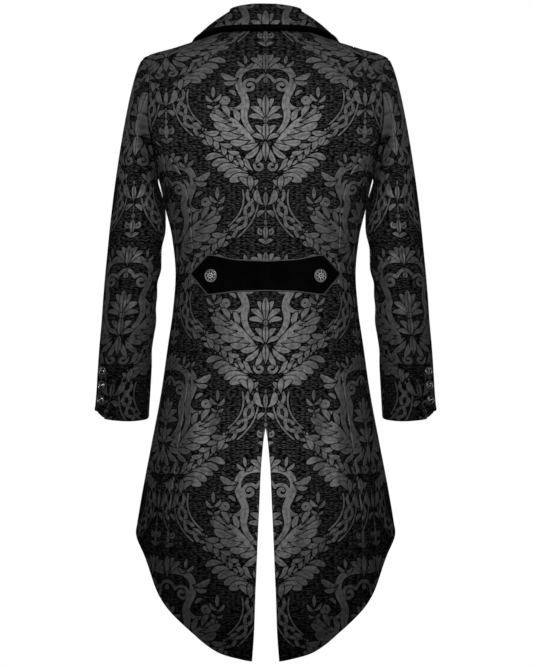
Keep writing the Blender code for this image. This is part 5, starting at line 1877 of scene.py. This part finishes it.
def bead_ring(radius, height):
    """Beads round a button's rim, laid by Geometry Nodes and turned into points and faces."""
    sizes = {"Beads": BEADS, "Ring": BEAD_RING * radius, "Bead": BEAD_SIZE, "Height": BEAD_HEIGHT * height}
    tree = bpy.data.node_groups.new("Beads on a ring", "GeometryNodeTree")
    for label in sizes:
        kind = "NodeSocketInt" if label == "Beads" else "NodeSocketFloat"
        tree.interface.new_socket(label, in_out="INPUT", socket_type=kind)
    tree.interface.new_socket("Geometry", in_out="OUTPUT", socket_type="NodeSocketGeometry")
    given = tree.nodes.new("NodeGroupInput").outputs
    ring = tree.nodes.new("GeometryNodeMeshCircle")
    tree.links.new(given["Beads"], ring.inputs["Vertices"])
    tree.links.new(given["Ring"], ring.inputs["Radius"])
    bead = tree.nodes.new("GeometryNodeMeshIcoSphere")
    bead.inputs["Subdivisions"].default_value = 2
    tree.links.new(given["Bead"], bead.inputs["Radius"])
    laid = tree.nodes.new("GeometryNodeInstanceOnPoints")
    tree.links.new(ring.outputs["Mesh"], laid.inputs["Points"])
    tree.links.new(bead.outputs["Mesh"], laid.inputs["Instance"])
    real = tree.nodes.new("GeometryNodeRealizeInstances")
    tree.links.new(laid.outputs["Instances"], real.inputs["Geometry"])
    raised = tree.nodes.new("ShaderNodeCombineXYZ")
    tree.links.new(given["Height"], raised.inputs["Z"])
    moved = tree.nodes.new("GeometryNodeSetPosition")
    tree.links.new(real.outputs["Geometry"], moved.inputs["Geometry"])
    tree.links.new(raised.outputs["Vector"], moved.inputs["Offset"])
    dressed = tree.nodes.new("GeometryNodeSetMaterial")
    dressed.inputs["Material"].default_value = SILVER
    tree.links.new(moved.outputs["Geometry"], dressed.inputs["Geometry"])
    tree.links.new(dressed.outputs["Geometry"], tree.nodes.new("NodeGroupOutput").inputs[0])
    return laid_out("Beads", tree, sizes)


def laid_out(name, tree, sizes):
    """Points and faces of what a Geometry Nodes tree makes with these sizes."""
    item = bpy.data.objects.new(name, bpy.data.meshes.new(name))
    bpy.context.scene.collection.objects.link(item)
    modifier = item.modifiers.new(name, "NODES")
    modifier.node_group = tree
    for socket in tree.interface.items_tree:
        if socket.in_out == "INPUT" and socket.name in sizes:
            modifier[socket.identifier] = sizes[socket.name]
    mesh = bpy.data.meshes.new_from_object(item.evaluated_get(bpy.context.evaluated_depsgraph_get()))
    points = np.empty(3 * len(mesh.vertices))
    mesh.vertices.foreach_get("co", points)
    faces = [list(polygon.vertices) for polygon in mesh.polygons]
    bpy.data.objects.remove(item)
    bpy.data.meshes.remove(mesh)
    return points.reshape(-1, 3), faces


def button_shape(size, relief, beaded):
    """A domed button round its own middle: its points, its faces and how raised each point is."""
    radius, height = size
    share = np.linspace(0, 1, BUTTON_RINGS)[1:]
    angle = np.linspace(0, 2 * np.pi, BUTTON_SPOKES, endpoint=False)
    s, a = np.meshgrid(share, angle, indexing="ij")
    raised = relief(s, a)
    dome = np.sqrt(np.clip(1 - s**DOME_CURVE, 0, 1))
    tall = height * (DOME_FOOT + DOME_RISE * dome) + RELIEF * raised * (s < 1)
    s = np.concatenate((s, np.full((2, BUTTON_SPOKES), LIP_WIDTH)))
    s[-1] = FOOT_WIDTH
    tall = np.concatenate((tall, np.full((2, BUTTON_SPOKES), height * LIP_HEIGHT)))
    tall[-1] = 0.0
    raised = np.concatenate((raised, np.full((2, BUTTON_SPOKES), SIDE_SHINE)))
    a = np.concatenate((a, a[:2]))
    points = np.stack((radius * s * np.cos(a), radius * s * np.sin(a), tall), axis=-1).reshape(-1, 3)
    top = (0.0, 0.0, height * DOME_TOP + RELIEF * relief(np.zeros(1), np.zeros(1))[0])
    points = np.concatenate((points, [top, (0.0, 0.0, 0.0)]))
    raised = np.concatenate((raised.ravel(), (1.0, 0.0)))
    rings, spokes = len(s), BUTTON_SPOKES
    i = (np.arange(rings - 1) * spokes)[:, None]
    k, after = np.arange(spokes), np.roll(np.arange(spokes), -1)
    faces = np.stack((i + k, i + spokes + k, i + spokes + after, i + after), axis=-1).reshape(-1, 4).tolist()
    middle, low = rings * spokes, (rings - 1) * spokes
    faces += [[middle, int(p), int(q)] for p, q in zip(k, after)]
    faces += [[middle + 1, int(low + q), int(low + p)] for p, q in zip(k, after)]
    if beaded:
        beads, bead_faces = bead_ring(radius, height)
        faces += [[corner + len(points) for corner in face] for face in bead_faces]
        points = np.concatenate((points, beads))
        # Beads' colour follows their height: tops bright, undersides painted dark as tarnish and shade
        rise = (beads[:, 2] - BEAD_HEIGHT * height) / BEAD_SIZE
        raised = np.concatenate((raised, 0.5 + 0.45 * rise))
    return points, faces, raised


def sleeve_turn_at(x, along, low=0.0, high=90.0):
    """The turn of the sleeve point that shows from behind at a half width."""
    for _ in range(40):
        middle = (low + high) / 2
        if sleeve(middle, along)[0] > x:
            low = middle
        else:
            high = middle
    return (low + high) / 2


def place_button(name, shape, at, out, roll, tip=0.0, rise=0.0):
    """Sets a button on the cloth, turned round its shank by a few degrees and tipped towards the back."""
    points, faces, raised = shape
    up = unit(np.array(out, float) + (0.0, tip, 0.0))
    side = unit(np.cross((0.0, 0.0, 1.0), up))
    over = np.cross(up, side)
    sine, cosine = np.sin(np.radians(roll)), np.cos(np.radians(roll))
    axes = np.stack((side * cosine + over * sine, over * cosine - side * sine, up))
    placed = points @ axes + np.array(at) + up * (LAY_GAP + rise)
    item = plain_mesh(name + "_metal", placed * MM, faces, SILVER, relief=raised)
    settle(item, name, "button_metal")


def build_buttons():
    """Belt, cuff and front buttons."""
    belt = button_shape(BELT_BUTTON, rosette_relief, True)
    cuff = button_shape(CUFF_BUTTON, swirl_relief, False)
    front = button_shape(FRONT_BUTTON, rosette_relief, True)
    for side, sign in (("left", 1), ("right", -1)):
        x, z = BELT_BUTTON_AT
        turn = turn_at(np.array(x), np.array(z))
        lift = BELT_GAP + BELT_THICK
        at = body(turn, z, lift)
        out = body_facing(turn, np.array(z), lift)
        roll = BELT_BUTTON_ROLL * sign
        place_button("belt_button_" + side, belt, at * (sign, 1, 1), out * (sign, 1, 1), roll)
        for k, (x, z) in enumerate(CUFF_BUTTONS_AT, 1):
            along = 1 + (BICEPS - z) / (BICEPS - CUFF_LEVEL)
            turn = sleeve_turn_at(x, along)
            at = sleeve(turn, along) * (sign, 1, 1)
            out = sleeve_facing(turn, along) * (sign, 1, 1)
            roll = CUFF_BUTTON_ROLL * k * sign
            place_button(f"cuff_button_{side}_{k}", cuff, at, out, roll, CUFF_BUTTON_TIP, CUFF_BUTTON_RISE)
    for k, z in enumerate(FRONT_BUTTONS_AT, 1):
        at = body(180.0, z, LAP_DEPTH)
        out = body_facing(np.array(180.0), np.array(z), LAP_DEPTH)
        place_button(f"front_button_{k}", front, at, out, FRONT_BUTTON_ROLL * k)


# The studio


def build_studio():
    """Camera at the photo's angle, spotlights, a pale floor and a white room."""
    scene = bpy.context.scene
    data = bpy.data.cameras.new("Camera")
    data.lens = CAMERA_LENS
    data.shift_x = CAMERA_SHIFT
    data.clip_end = 40
    camera = bpy.data.objects.new("Camera", data)
    camera.location = CAMERA_AT
    camera.rotation_euler = (np.pi / 2, 0, np.pi)
    scene.collection.objects.link(camera)
    scene.camera = camera
    scene.view_settings.view_transform = "Standard"
    for name, at, aim, size, cone, power in LIGHTS:
        lamp = bpy.data.lights.new(name, "SPOT")
        lamp.shadow_soft_size = size
        lamp.spot_size = np.radians(cone)
        lamp.spot_blend = 1.0
        lamp.energy = power
        item = bpy.data.objects.new(name, lamp)
        item.location = at
        item.rotation_euler = (Vector(aim) - Vector(at)).to_track_quat("-Z", "Y").to_euler()
        scene.collection.objects.link(item)
    world = bpy.data.worlds.new("Studio")
    world.use_nodes = True
    scene.world = world
    tree = world.node_tree
    path = node(tree, "ShaderNodeLightPath")
    glow = sums(tree, "MULTIPLY_ADD", path, 1.0 - WORLD_LIGHT, WORLD_LIGHT)
    tree.links.new(glow, tree.nodes["Background"].inputs["Strength"])
    tree.nodes["Background"].inputs["Color"].default_value = (1, 1, 1, 1)
    mesh = bpy.data.meshes.new("Floor")
    mesh.from_pydata([(-5, -5, FLOOR), (5, -5, FLOOR), (5, 5, FLOOR), (-5, 5, FLOOR)], [], [(0, 1, 2, 3)])
    floor = bpy.data.objects.new("Floor", mesh)
    scene.collection.objects.link(floor)
    pale = bpy.data.materials.new("Pale floor")
    pale.use_nodes = True
    tree = pale.node_tree
    tree.nodes.clear()
    path = node(tree, "ShaderNodeLightPath")
    mixed = tree.nodes.new("ShaderNodeMixShader")
    tree.links.new(path, mixed.inputs[0])
    tree.links.new(node(tree, "ShaderNodeBsdfDiffuse", (0.15, 0.15, 0.15, 1)), mixed.inputs[1])
    tree.links.new(node(tree, "ShaderNodeEmission", (1, 1, 1, 1), 1.0), mixed.inputs[2])
    tree.links.new(mixed.outputs[0], node(tree, "ShaderNodeOutputMaterial", out=None).inputs["Surface"])
    mesh.materials.append(pale)


build_body()
build_sleeves()
build_collar()
build_lapels()
build_belt()
build_buttons()
build_studio()
